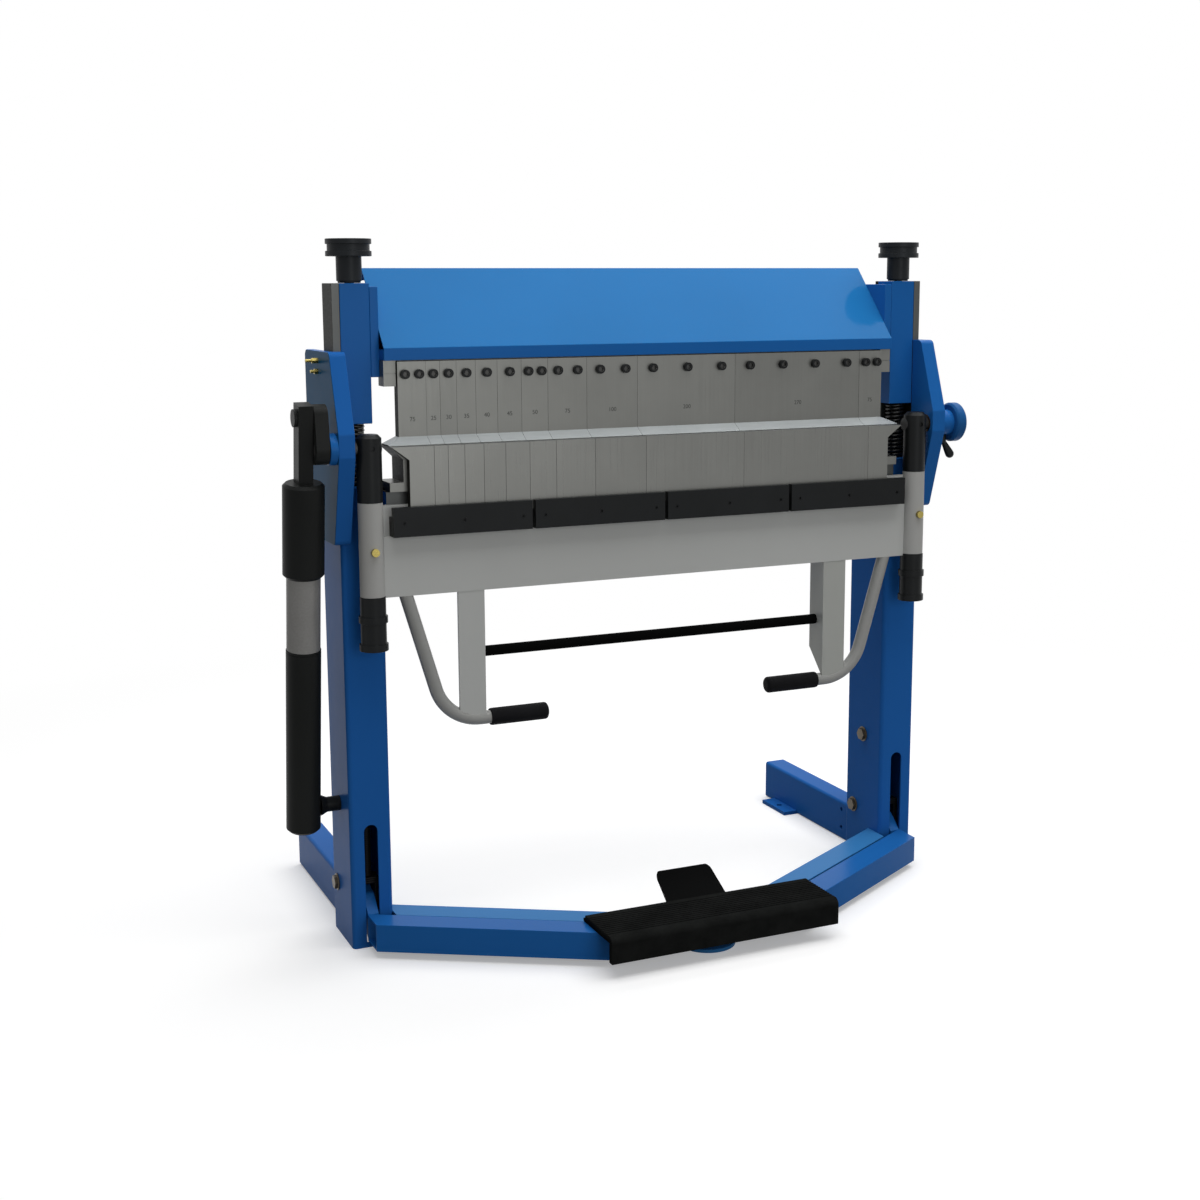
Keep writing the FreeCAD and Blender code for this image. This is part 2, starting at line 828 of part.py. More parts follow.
def make_column_bolts():
    """Hexagon bolts: the two lever pivots, and the cross bolt of the right column."""
    body = new_body("column_bolts", 3)
    lever = (size("lever_pivot_y"), size("lever_pivot_z"), size("lever_bolt"))
    cross = (size("anchor_y"), size("anchor_z"), size("anchor_bolt"))
    head = size("hex_height")
    for side, bolts in ((1, (lever, cross)), (-1, (lever,))):
        for y, z, diameter in bolts:
            ends = (side * column_x0, side * column_x1)
            low, high = (ends[0], ends[1]) if side > 0 else (ends[1], ends[0])
            prism(body, "YZ", [circle(y, z, diameter)], low, high)
            prism(body, "YZ", [hexagon(y, z, size("hex_size"))], low - head, low)
            prism(body, "YZ", [hexagon(y, z, size("hex_size"))], high, high + head)


def make_anchor_pin():
    """Lower pin of the balancer: cross bolt of the left column with a flared spacer and a journal."""
    body = new_body("balancer_anchor_pin")
    tube_face = strut_axis - size("tube_diameter") / 2
    flare_x = tube_face - size("run_gap")
    tip = strut_axis + size("tube_diameter") / 2 - size("anchor_end_gap")
    bolt = size("anchor_bolt") / 2
    outline = [
        (-column_x0, Size("0", 0.0)), (-column_x0, bolt), (-column_x1, bolt),
        (-column_x1, size("anchor_spacer") / 2),
        (-flare_x + (flare_x - column_x1) / 3, size("anchor_spacer") / 2),
        (-flare_x, size("anchor_flare") / 2), (-flare_x, bolt), (-tip, bolt), (-tip, Size("0", 0.0)),
    ]
    turned(body, "X", outline)
    place(body, Size("0", 0.0), size("anchor_y"), size("anchor_z"))
    head = [hexagon(Size("0", 0.0), Size("0", 0.0), size("hex_size"))]
    prism(body, "YZ", head, -column_x0, -column_x0 + size("hex_height"))


def make_collar():
    """Fixed neck of the angle stop on the right cheek, with a clamping screw hole from below."""
    body = new_body("angle_stop_collar")
    end = cheek_x1 + size("collar_width")
    ring = [circle(Size("0", 0.0), bend_z, size("collar_diameter")), circle(Size("0", 0.0), bend_z, shaft_hole)]
    prism(body, "YZ", ring, cheek_x1, end)
    hole = circle(size("clamp_x"), Size("0", 0.0), size("clamp_screw") + 4 * size("fit_gap"))
    recess(body, "XY", [hole], bend_z - size("collar_diameter"), bend_z)


def make_disc():
    """Turning disc of the angle stop, bevelled on both rims, on the end of the pivot shaft."""
    body = new_body("angle_stop_disc")
    start = cheek_x1 + size("collar_width") + size("run_gap")
    end = start + size("disc_width")
    bevel = size("disc_chamfer")
    rim = size("disc_diameter") / 2
    bore = shaft_hole / 2
    outline = [
        (start, bore), (start, rim - bevel), (start + bevel, rim), (end - bevel, rim),
        (end, rim - bevel), (end, Size("0", 0.0)), (end - size("disc_cover"), Size("0", 0.0)),
        (end - size("disc_cover"), bore),
    ]
    turned(body, "X", outline)
    place(body, Size("0", 0.0), Size("0", 0.0), bend_z)


def make_clamp_lever():
    """Small clamping lever below the neck: screw, hub and a tapered arm with a ball end."""
    neck_low = bend_z - size("collar_diameter") / 2
    hub_top = neck_low - size("run_gap")
    hub = doc.addObject("Part::Cylinder", "clamp_hub_solid")
    bind(hub, "Radius", size("clamp_hub") / 2)
    bind(hub, "Height", size("clamp_hub_height"))
    place(hub, size("clamp_x"), Size("0", 0.0), hub_top - size("clamp_hub_height"))
    screw = doc.addObject("Part::Cylinder", "clamp_screw_solid")
    bind(screw, "Radius", size("clamp_screw") / 2)
    bind(screw, "Height", size("collar_diameter") / 2 - size("shaft_diameter") / 2 - size("run_gap"))
    place(screw, size("clamp_x"), Size("0", 0.0), hub_top)
    root_z = hub_top - size("clamp_hub_height") / 2
    arm = doc.addObject("Part::Cone", "clamp_arm_solid")
    bind(arm, "Radius1", size("clamp_arm_thin"))
    bind(arm, "Radius2", size("clamp_arm_thick"))
    bind(arm, "Height", size("clamp_arm"))
    arm.Placement = FreeCAD.Placement(FreeCAD.Vector(), FreeCAD.Rotation(FreeCAD.Vector(0, 1, 0), 155))
    bind(arm, ".Placement.Rotation.Angle", 180 - size("clamp_slope"))
    place(arm, size("clamp_x"), Size("0", 0.0), root_z)
    ball = doc.addObject("Part::Sphere", "clamp_ball_solid")
    bind(ball, "Radius", size("clamp_arm_thick"))
    reach = size("clamp_arm")
    place(
        ball, size("clamp_x") + reach * sine(size("clamp_slope")), Size("0", 0.0),
        root_z - reach * cosine(size("clamp_slope")),
    )
    lever = doc.addObject("Part::MultiFuse", "stop_clamp_lever")
    lever.Label = "stop_clamp_lever"
    lever.Shapes = [hub, screw, arm, ball]
    nodes.append(lever)


# Clamping beam

def hood_line(y):
    """Height of the hood's inner surface above a depth Y."""
    ratio = size("hood_rise") / size("hood_run")
    drop = size("hood_sheet") * root(1 + ratio * ratio)
    lip_top = size("holder_high") + size("hood_lip")
    return lip_top + ratio * (y - size("hood_front")) - drop


def make_hood():
    """Folded sheet hood: lip, long slope and a short flange down the back."""
    body = new_body("hood")
    front = size("hood_front")
    back = front + size("hood_run")
    low = size("holder_high")
    lip_top = low + size("hood_lip")
    top = lip_top + size("hood_rise")
    skin = size("hood_sheet")
    flange = top - size("hood_flange")
    outline = [
        (front, low), (front, lip_top), (back, top), (back, flange), (back - skin, flange),
        (back - skin, hood_line(back - skin)), (front + skin, hood_line(front + skin)), (front + skin, low),
    ]
    prism(body, "YZ", [outline], -size("beam_half"), size("beam_half"))


def make_upper_beam():
    """Clamping beam: base plate, upright web and two end plates that carry the slider blocks."""
    body = new_body("upper_beam")
    low = size("holder_high")
    front = size("hood_front")
    skin = front + size("hood_sheet")
    floor = low + size("base_plate")
    web0 = size("web_front")
    web1 = web0 + size("web_thickness")
    half = size("beam_half")
    section = [
        (skin, low), (skin, floor), (web0, floor), (web0, hood_line(web0)), (web1, hood_line(web1)), (web1, low),
    ]
    prism(body, "YZ", [section], -half, half)
    step = size("guide_front")
    block_back = step + size("block_depth")
    top = block_top - size("end_plate_drop")
    end = [
        (step, size("end_plate_low")), (step, top), (web1, top), (web1, low), (block_back, size("end_plate_low")),
    ]
    outer = half + size("end_plate")
    prism(body, "YZ", [end], half, outer)
    prism(body, "YZ", [end], -outer, -half)


def make_slider_block():
    """Slider block bolted to the beam's end: grooved for the guide key and bored for the tie rod."""
    body = new_body("slider_block_right")
    x0 = size("beam_half") + size("end_plate")
    x1 = cheek_x0 - size("run_gap")
    y0 = size("guide_front")
    y1 = y0 + size("block_depth")
    key = size("key_width") / 2 + size("run_gap")
    tip = y1 + size("run_gap") - size("key_height") - size("run_gap")
    outline = [
        (x0, y0), (x1, y0), (x1, y1), (axis_x + key, y1), (axis_x + key, tip),
        (axis_x - key, tip), (axis_x - key, y1), (x0, y1),
    ]
    prism(body, "XY", [outline], block_low, block_top)
    bore = circle(axis_x, size("slide_axis_y"), size("rod_diameter") + 2 * size("fit_gap"))
    recess(body, "XY", [bore], block_low, block_top)
    mirrored(body, "slider_block_left")


def make_tool_holder():
    """Bar that the clamping segments are bolted to, with a grooved lug at each end."""
    body = new_body("tool_holder")
    face = size("hood_front") - size("run_gap") + size("segment_thickness") + size("run_gap")
    low, high = size("holder_low"), size("holder_high")
    half = size("beam_half")
    prism(body, "YZ", [box(face, low, size("holder_back"), high)], -half, half)
    groove = size("lug_groove") / 2
    middle = (low + high) / 2
    lug = box(size("lug_front"), low, face, high)
    start = plate_right + size("lug_gap")
    prism(body, "YZ", [lug], start, half)
    prism(body, "YZ", [lug], -half, -start)
    notch = box(size("lug_front") - 1, middle - groove, size("lug_front") + size("lug_groove"), middle + groove)
    recess(body, "YZ", [notch], -half - 1, half + 1)
    depth = size("bolt_reach") + 2
    holes = [circle(x, size("bolt_z"), size("bolt_shank")) for x in bolt_positions()]
    recess(body, "XZ", holes, face, face + depth)


def make_upper_segments():
    """Clamping segments: plates with a sloping nose on the bend line and horns at both ends."""
    body = new_body("upper_segments", 12)
    sole = bend_z + size("run_gap")
    nose = size("nose_setback")
    front = nose + size("nose_slope_run")
    shoulder = sole + size("nose_land") + size("nose_slope_rise")
    back = size("hood_front") + size("segment_thickness")
    outline = [
        (nose, sole), (nose, sole + size("nose_land")), (front, shoulder),
        (front, size("segment_top")), (back, size("segment_top")), (back, sole),
    ]
    prism(body, "YZ", [outline], borders[0], borders[-1])
    tip = sole + size("horn_tip")
    cuts = horn_cuts(tip, tip + size("horn_slope"), size("segment_top") + 1, size("horn_reach"))
    recess(body, "XZ", cuts, Size("0", 0.0), back + 1)
    recess(body, "XY", slits(Size("0", 0.0), back + 1), sole, size("segment_top"))
    holes = [circle(x, size("bolt_z"), size("bolt_shank")) for x in bolt_positions()]
    recess(body, "XZ", holes, Size("0", 0.0), back + 1)


def make_segment_bolts():
    """Socket head bolts that hold the clamping segments on the holder."""
    places = bolt_positions()
    body = new_body("segment_bolts", len(places))
    z = size("bolt_z")
    face = size("nose_setback") + size("nose_slope_run")
    back = size("hood_front") + size("segment_thickness") + size("bolt_reach")
    head = face - size("bolt_head_height")
    prism(body, "XZ", [circle(x, z, size("bolt_head")) for x in places], head, face)
    prism(body, "XZ", [circle(x, z, size("bolt_shank")) for x in places], face, back)
    recess(body, "XZ", [hexagon(x, z, size("bolt_socket")) for x in places], head, head + size("bolt_head_height") / 2)


def make_tie_rod():
    """Tie rod from the handwheel down to the pedal lever, with a fork and a slotted eye."""
    body = new_body("tie_rod_right")
    y = size("slide_axis_y")
    crotch = pin_z + size("fork_crotch")
    top = crotch + size("fork_bridge")
    low = pin_z - size("fork_low")
    half = size("fork_gap") / 2
    outer = half + size("fork_cheek")
    deep = size("fork_depth") / 2
    prism(body, "XY", [circle(axis_x, y, size("rod_diameter"))], top, rod_top)
    prism(body, "XY", [box(axis_x - outer, y - deep, axis_x + outer, y + deep)], low, top)
    recess(body, "YZ", [box(y - deep - 1, low - 1, y + deep + 1, crotch)], axis_x - half, axis_x + half)
    slack = size("lever_pin") / 2 + size("eye_gap")
    nearest = size("lever_pivot_y") - size("lever_radius")
    eye = box(nearest - slack, pin_z - slack, pin_y + slack, pin_z + slack)
    recess(body, "YZ", [eye], axis_x - outer - 1, axis_x + outer + 1)
    mirrored(body, "tie_rod_left")


def biarc(p0, t0, p1, t1):
    """Two arcs that join two points with given directions."""
    gap = p1 - p0
    total = t0 + t1
    spread = 2 * (1 - t0.dot(t1))
    reach = (-gap.dot(total) + math.sqrt(gap.dot(total) ** 2 + spread * gap.dot(gap))) / spread
    q0 = p0 + t0 * reach
    q1 = p1 - t1 * reach
    joint = (q0 + q1) * 0.5
    arcs = []
    for start, corner, stop in ((p0, q0, joint), (joint, q1, p1)):
        chord = (start + stop) * 0.5
        inward = chord - corner
        half = (start - chord).Length
        radius = reach * half / inward.Length
        rise = math.sqrt(reach * reach + radius * radius) - radius
        arcs.append(Part.Arc(start, corner + inward * (rise / inward.Length), stop).toShape())
    return arcs


def make_return_spring():
    """Return spring between column and slider block: open turns with a close turn at each end."""
    wire = number(size("spring_wire"))
    radius = (number(size("spring_diameter")) - wire) / 2
    low = number(column_top) + number(size("run_gap")) + wire / 2
    high = number(block_low) - number(size("run_gap")) - wire / 2
    turns = number(size("spring_turns"))
    close = number(size("spring_end_pitch"))
    open_pitch = (high - low - 2 * close) / (turns - 2)
    centre = FreeCAD.Vector(number(axis_x), number(size("slide_axis_y")), 0)

    def state(turn):
        """Point and direction of the wire after a number of turns."""
        if turn <= 1:
            z, pitch = low + close * turn, close
        elif turn >= turns - 1:
            z, pitch = high - close * (turns - turn), close
        else:
            z, pitch = low + close + open_pitch * (turn - 1), open_pitch
        angle = 2 * math.pi * turn
        point = centre + FreeCAD.Vector(radius * math.cos(angle), radius * math.sin(angle), z)
        if abs(turn - 1) < 1e-6 or abs(turn - turns + 1) < 1e-6:
            pitch = (close + open_pitch) / 2
        rise = pitch / (2 * math.pi)
        way = FreeCAD.Vector(-radius * math.sin(angle), radius * math.cos(angle), rise)
        return point, way.normalize()

    quarters = int(round(4 * turns))
    states = [state(step * turns / quarters) for step in range(quarters + 1)]
    first, last = states[0], states[-1]
    edges = [Part.LineSegment(first[0] - first[1] * wire, first[0]).toShape()]
    for (p0, t0), (p1, t1) in zip(states[:-1], states[1:]):
        edges.extend(biarc(p0, t0, p1, t1))
    edges.append(Part.LineSegment(last[0], last[0] + last[1] * wire).toShape())
    path = Part.Wire(edges)
    start = first[0] - first[1] * wire
    section = Part.Wire([Part.Circle(start, first[1], wire / 2).toShape()])
    coil = path.makePipeShell([section], True, False)
    points = []
    count = quarters * 8
    for step in range(count + 1):
        points.append(state(step * turns / count)[0])
    turn_steps = count / turns
    least = min(
        (points[i] - points[j]).Length - wire
        for i in range(len(points)) for j in range(i + int(turn_steps * 0.6), len(points))
    )
    print("return spring: least gap between turns %.2f mm" % least)
    piece = doc.addObject("Part::Feature", "return_spring_right")
    piece.Label = "return_spring_right"
    piece.Shape = coil
    piece.Placement = FreeCAD.Placement()
    nodes.append(piece)
    mirrored(piece, "return_spring_left")


def make_handwheel():
    """Handwheel on the tie rod: step, hub and a wheel with a waist between two flanges."""
    body = new_body("handwheel_right")
    low = block_top + size("run_gap")
    hub = low + size("wheel_step_height")
    wheel = hub + size("wheel_hub_height")
    top = wheel + size("wheel_height")
    flange = size("wheel_flange")
    rim = size("wheel_diameter") / 2
    waist = size("wheel_waist") / 2
    bore = size("rod_diameter") / 2 + size("fit_gap")
    bore_top = rod_top + 1
    outline = [
        (bore, low), (size("wheel_step") / 2, low), (size("wheel_step") / 2, hub),
        (size("wheel_hub") / 2, hub), (size("wheel_hub") / 2, wheel), (rim, wheel),
        (rim, wheel + flange), (waist, wheel + flange), (waist, top - flange), (rim, top - flange),
        (rim, top), (Size("0", 0.0), top), (Size("0", 0.0), bore_top), (bore, bore_top),
    ]
    turned(body, "Z", outline)
    place(body, axis_x, size("slide_axis_y"), Size("0", 0.0))
    mirrored(body, "handwheel_left")


# Pedal

pedal_offset = size("stretcher_section") / 2 + size("pedal_gap") + size("pedal_section") / 2
pedal_y = size("stretcher_y") - pedal_offset
pedal_knee = size("stretcher_knee") + pedal_offset * tangent(size("stretcher_slant") / 2)
pedal_top = size("pedal_base") + size("pedal_section")
pedal_trim = column_y0 - size("pedal_end_gap")


def make_pedal_lever():
    """Lever plate inside the column: pivot boss, tie rod pin and the arm out to the pedal bar."""
    body = new_body("pedal_lever_right")
    half = size("lever_thickness") / 2
    y, z = size("lever_pivot_y"), size("lever_pivot_z")
    boss = size("lever_boss") / 2
    pin_boss = size("lever_pin_boss") / 2
    arm = [
        (pedal_trim, size("pedal_base") + 1), (y - boss / 2, z - boss * 0.86),
        (y - boss / 4, z + boss * 0.96), (pin_y - pin_boss, pin_z + pin_boss / 2),
        (pedal_trim, pedal_top - 1),
    ]
    x0, x1 = axis_x - half, axis_x + half
    prism(body, "YZ", [arm], x0, x1)
    prism(body, "YZ", [circle(y, z, size("lever_boss"))], x0, x1)
    prism(body, "YZ", [circle(pin_y, pin_z, size("lever_pin_boss"))], x0, x1)
    reach = size("lever_pin_length") / 2
    prism(body, "YZ", [circle(pin_y, pin_z, size("lever_pin"))], axis_x - reach, axis_x + reach)
    recess(body, "YZ", [circle(y, z, size("lever_bolt") + 2 * size("fit_gap"))], x0, x1)
    mirrored(body, "pedal_lever_left")


def make_pedal_bar():
    """Cranked square tube in front of the floor bar, trimmed square to the column faces."""
    body = new_body("pedal_bar")
    low = size("pedal_base")
    half = size("pedal_section") / 2
    wall = size("pedal_wall")
    end = size("pedal_end")
    outline = bent_bar(pedal_y, pedal_knee, half, end, 0)
    prism(body, "XY", [outline], low, pedal_top)
    bore = bent_bar(pedal_y, pedal_knee, half - wall, end + wall, 0)
    recess(body, "XY", [bore], low + wall, pedal_top - wall)
    beyond = pedal_trim + size("pedal_section")
    wide = end + size("pedal_section")
    recess(body, "XY", [box(-wide, pedal_trim, wide, beyond)], low, pedal_top)


def make_pedal_plate():
    """Tread plate folded down in front, with a raised toe tab behind it."""
    body = new_body("pedal_plate")
    thick = size("plate_thickness")
    top = pedal_top + thick
    back = size("plate_back")
    front = size("plate_front") + size("mat_thickness")
    half = size("plate_half")
    outline = [
        (back, pedal_top), (back, top), (front, top), (front, size("plate_lip_low")),
        (front + thick, size("plate_lip_low")), (front + thick, pedal_top),
    ]
    prism(body, "YZ", [outline], -half, half)
    slope = size("toe_slope")
    reach = size("toe_length")
    up = size("toe_thickness")
    root_y = back - size("mat_back_margin") + 1
    tip_y = root_y + reach * cosine(slope)
    tip_z = top + reach * sine(slope)
    toe = [
        (root_y, top - thick / 2), (root_y + up * 2, top - thick / 2),
        (tip_y + up * sine(slope), tip_z - up * cosine(slope)), (tip_y, tip_z), (root_y, top),
    ]
    root_half, tip_half = size("toe_half_root"), size("toe_half_tip")
    prism(body, "YZ", [toe], -root_half, root_half)
    rounding = size("toe_round")
    turn_y = tip_y + up * sine(slope) - rounding * cosine(slope)
    edge_x = root_half - (root_half - tip_half) * (turn_y - root_y) / (tip_y - root_y)
    taper = [(root_half, root_y), (root_half + 1, root_y), (root_half + 1, tip_y + 2 * up), (edge_x - rounding, tip_y + 2 * up)]
    for step in (4, 3, 2, 1, 0):
        angle = step * math.pi / 8
        x = edge_x - rounding + rounding * math.cos(angle)
        taper.append((x, turn_y + rounding * cosine(slope) * math.sin(angle)))
    recess(body, "XY", [taper, [(-x, y) for x, y in reversed(taper)]], top, tip_z + up)


def make_pedal_mat():
    """Ribbed rubber mat over the tread plate and its front fold."""
    body = new_body("pedal_mat")
    low = pedal_top + size("plate_thickness")
    top = low + size("mat_thickness")
    back = size("plate_back") - size("mat_back_margin")
    front = size("plate_front")
    inner = front + size("mat_thickness")
    half = size("plate_half")
    outline = [
        (back, low), (back, top), (front, top), (front, size("plate_lip_low")),
        (inner, size("plate_lip_low")), (inner, low),
    ]
    prism(body, "YZ", [outline], -half, half)
    soften(body, "Fillet", size("mat_round"), "X", [(front, top)])
    pitch = size("rib_pitch")
    count = int((number(back - front) - number(size("mat_round"))) // number(pitch))
    grooves = []
    for step in range(count):
        start = back - pitch * step - pitch / 2
        grooves.append(box(start - size("rib_groove"), top - size("rib_depth"), start, top + 1))
    recess(body, "YZ", grooves, -half, half)


# Folding beam

def make_folding_beam():
    """Swinging beam plate: rebated for blades and strips, coped to the arm sleeves at its ends."""
    body = new_body("folding_beam")
    low, high = size("swing_low"), size("swing_high")
    front, back = size("swing_front"), size("swing_back")
    face = -size("bend_gap")
    outline = [
        (front, low), (front, size("strip_low")), (face, size("strip_low")), (face, high), (back, high), (back, low),
    ]
    prism(body, "YZ", [outline], -size("swing_half"), size("swing_half"))
    cope = [
        circle(size("arm_axis"), size("arm_axis_y"), size("sleeve_diameter")),
        circle(-size("arm_axis"), size("arm_axis_y"), size("sleeve_diameter")),
    ]
    recess(body, "XY", cope, low - 1, high + 1)
    depth = -face + back - size("column_wall")
    holes = [circle(x, size("strip_screw_z"), size("strip_screw_shank")) for x in strip_screw_places()]
    recess(body, "XZ", holes, face, face + depth)


def strip_starts():
    """Left ends of the four strips, evenly about the middle."""
    length, gap = size("strip_length"), size("strip_gap")
    return [(length + gap) * step + gap / 2 for step in (-2, -1, 0, 1)]


def strip_screw_places():
    """Three screws in each strip: near both ends and in the middle."""
    places = []
    for start in strip_starts():
        end = start + size("strip_length")
        places.extend([start + size("strip_screw_in"), (start + end) / 2, end - size("strip_screw_in")])
    return places


def make_folding_segments():
    """Folding blades on the beam, their top rear edge on the bend line, with a horn at each end."""
    body = new_body("folding_segments", 12)
    back = -size("bend_gap")
    front = back - size("blade_thickness")
    low = size("blade_low")
    prism(body, "YZ", [box(front, low, back, bend_z)], borders[0], borders[-1])
    cuts = horn_cuts(bend_z, bend_z - size("blade_horn"), low - 1, size("blade_body"))
    recess(body, "XZ", cuts, front - 1, back + 1)
    recess(body, "XY", slits(front - 1, back + 1), low, bend_z)


def make_clamp_strips():
    """Four clamping strips with a foot below the blades, bolted to the beam."""
    body = new_body("clamp_strips", 4)
    back = -size("bend_gap")
    blade = back - size("blade_thickness")
    front = blade - size("strip_thickness")
    low, high = size("strip_low"), size("strip_high")
    outline = [
        (front, low), (front, high), (blade, high), (blade, size("blade_low")), (back, size("blade_low")), (back, low),
    ]
    for start in strip_starts():
        prism(body, "YZ", [outline], start, start + size("strip_length"))
    shanks = [circle(x, size("strip_screw_z"), size("strip_screw_shank")) for x in strip_screw_places()]
    recess(body, "XZ", shanks, front - 1, back + 1)
    heads = [circle(x, size("strip_screw_z"), size("strip_screw_head")) for x in strip_screw_places()]
    recess(body, "XZ", heads, front - 1, front + size("strip_screw_shank"))


def make_strip_screws():
    """Socket screws of the strips, their heads sunk flush."""
    places = strip_screw_places()
    body = new_body("strip_screws", len(places))
    back = -size("bend_gap")
    front = back - size("blade_thickness") - size("strip_thickness")
    seat = front + size("strip_screw_shank")
    z = size("strip_screw_z")
    tip = size("swing_back") - size("column_wall") - 1
    prism(body, "XZ", [circle(x, z, size("strip_screw_head")) for x in places], front, seat)
    prism(body, "XZ", [circle(x, z, size("strip_screw_shank")) for x in places], seat, tip)
    sockets = [hexagon(x, z, size("strip_screw_head") / 2) for x in places]
    recess(body, "XZ", sockets, front, front + size("strip_screw_shank") / 2)


def make_arm_sleeve():
    """Bright sleeve at the end of the folding beam, bored for the pivot block's stem."""
    body = new_body("arm_sleeve_right")
    x, y = size("arm_axis"), size("arm_axis_y")
    ring = [circle(x, y, size("sleeve_diameter")), circle(x, y, size("stem_diameter") + 2 * size("fit_gap"))]
    prism(body, "XY", ring, size("sleeve_low"), size("sleeve_high"))
    hole = circle(x, size("sleeve_screw_z"), size("sleeve_screw_shank"))
    recess(body, "XZ", [hole], y - size("sleeve_diameter"), y)
    mirrored(body, "arm_sleeve_left")


def make_sleeve_screws():
    """Brass locking screws in the front of the arm sleeves."""
    body = new_body("sleeve_screws", 2)
    y, z = size("arm_axis_y"), size("sleeve_screw_z")
    seat = y - size("sleeve_diameter") / 2
    tip = y - size("stem_diameter") / 2 - size("run_gap")
    for x in (-size("arm_axis"), size("arm_axis")):
        prism(body, "XZ", [circle(x, z, size("sleeve_screw_head"))], seat - size("sleeve_screw_height"), seat)
        prism(body, "XZ", [circle(x, z, size("sleeve_screw_shank"))], seat, tip)


def make_pivot_block():
    """Black pivot block above the sleeve: bevelled top, cross bore for the shaft, long stem below."""
    body = new_body("pivot_block_right")
    rim = size("block_diameter") / 2
    stem = size("stem_diameter") / 2
    low, top = size("sleeve_high"), size("pivot_block_top")
    bevel = size("pivot_block_chamfer")
    outline = [
        (Size("0", 0.0), size("stem_low")), (stem, size("stem_low")), (stem, low), (rim, low),
        (rim, top - bevel), (rim - bevel, top), (Size("0", 0.0), top),
    ]
    turned(body, "Z", outline)
    place(body, size("arm_axis"), size("arm_axis_y"), Size("0", 0.0))
    reach = size("block_diameter")
    recess(body, "YZ", [circle(-size("arm_axis_y"), bend_z, size("shaft_diameter"))], -reach, reach)
    grub = circle(Size("0", 0.0), bend_z, size("grub_diameter"))
    recess(body, "XZ", [grub], -rim - 1, -rim + size("grub_depth"))
    mirrored(body, "pivot_block_left")


def make_pivot_shafts():
    """Pivot shafts on the bend line: to the crank on the left, into the angle stop on the right."""
    body = new_body("pivot_shafts", 2)
    inner = size("arm_axis") - size("block_diameter") / 2
    section = [circle(Size("0", 0.0), bend_z, size("shaft_diameter"))]
    disc_start = cheek_x1 + size("collar_width") + size("run_gap")
    right = disc_start + size("disc_width") - size("disc_cover") - 1
    left = size("crank_inner") + size("crank_thickness")
    prism(body, "YZ", section, inner, right)
    prism(body, "YZ", section, -left, -inner)


def make_adjusting_nut():
    """Adjusting nut below the sleeve, with two gripping rings."""
    body = new_body("adjusting_nut_right")
    bore = size("stem_diameter") / 2 + 2 * size("fit_gap")
    outer = size("nut_diameter") / 2
    ring = size("nut_ring") / 2
    low = size("nut_low")
    top = size("sleeve_low") - size("run_gap")
    ring_top = low + size("nut_ring_height")
    upper = size("nut_ring_high")
    upper_top = upper + size("nut_ring_height")
    floor = size("stem_low") - size("run_gap")
    zero = Size("0", 0.0)
    outline = [
        (zero, low), (ring, low), (ring, ring_top), (outer, ring_top), (outer, upper), (ring, upper),
        (ring, upper_top), (outer, upper_top), (outer, top), (bore, top), (bore, floor), (zero, floor),
    ]
    turned(body, "Z", outline)
    place(body, size("arm_axis"), size("arm_axis_y"), zero)
    mirrored(body, "adjusting_nut_left")


def make_brace_leg():
    """Angle section leg below the beam: front plate and inner web, cut on a slant and notched round the handle tube."""
    body = new_body("brace_leg_tube")
    nodes.remove(body)
    x0 = size("leg_inner")
    x1 = x0 + size("leg_width")
    y0 = size("leg_front")
    y1 = y0 + size("leg_depth")
    wall = size("leg_wall")
    side = [
        (y0, size("leg_low_front")), (y1, size("leg_low_back")), (y1, size("swing_low")), (y0, size("swing_low")),
    ]
    prism(body, "YZ", [side], x0, x1)
    bore = box(x0 + wall, y0 + wall, x1 + 1, y1 + 1)
    recess(body, "XY", [bore], size("leg_low_front") - 1, size("swing_low"))
    leg = doc.addObject("Part::Cut", "brace_leg_right")
    leg.Label = "brace_leg_right"
    leg.Base = body
    leg.Tool = doc.getObject("handle_right")
    nodes.append(leg)
    mirrored(leg, "brace_leg_left")


def make_brace_rod():
    """Round rod between the two brace legs."""
    body = new_body("brace_rod")
    section = [circle(size("brace_y"), size("brace_z"), size("brace_diameter"))]
    prism(body, "YZ", section, -size("leg_inner"), size("leg_inner"))


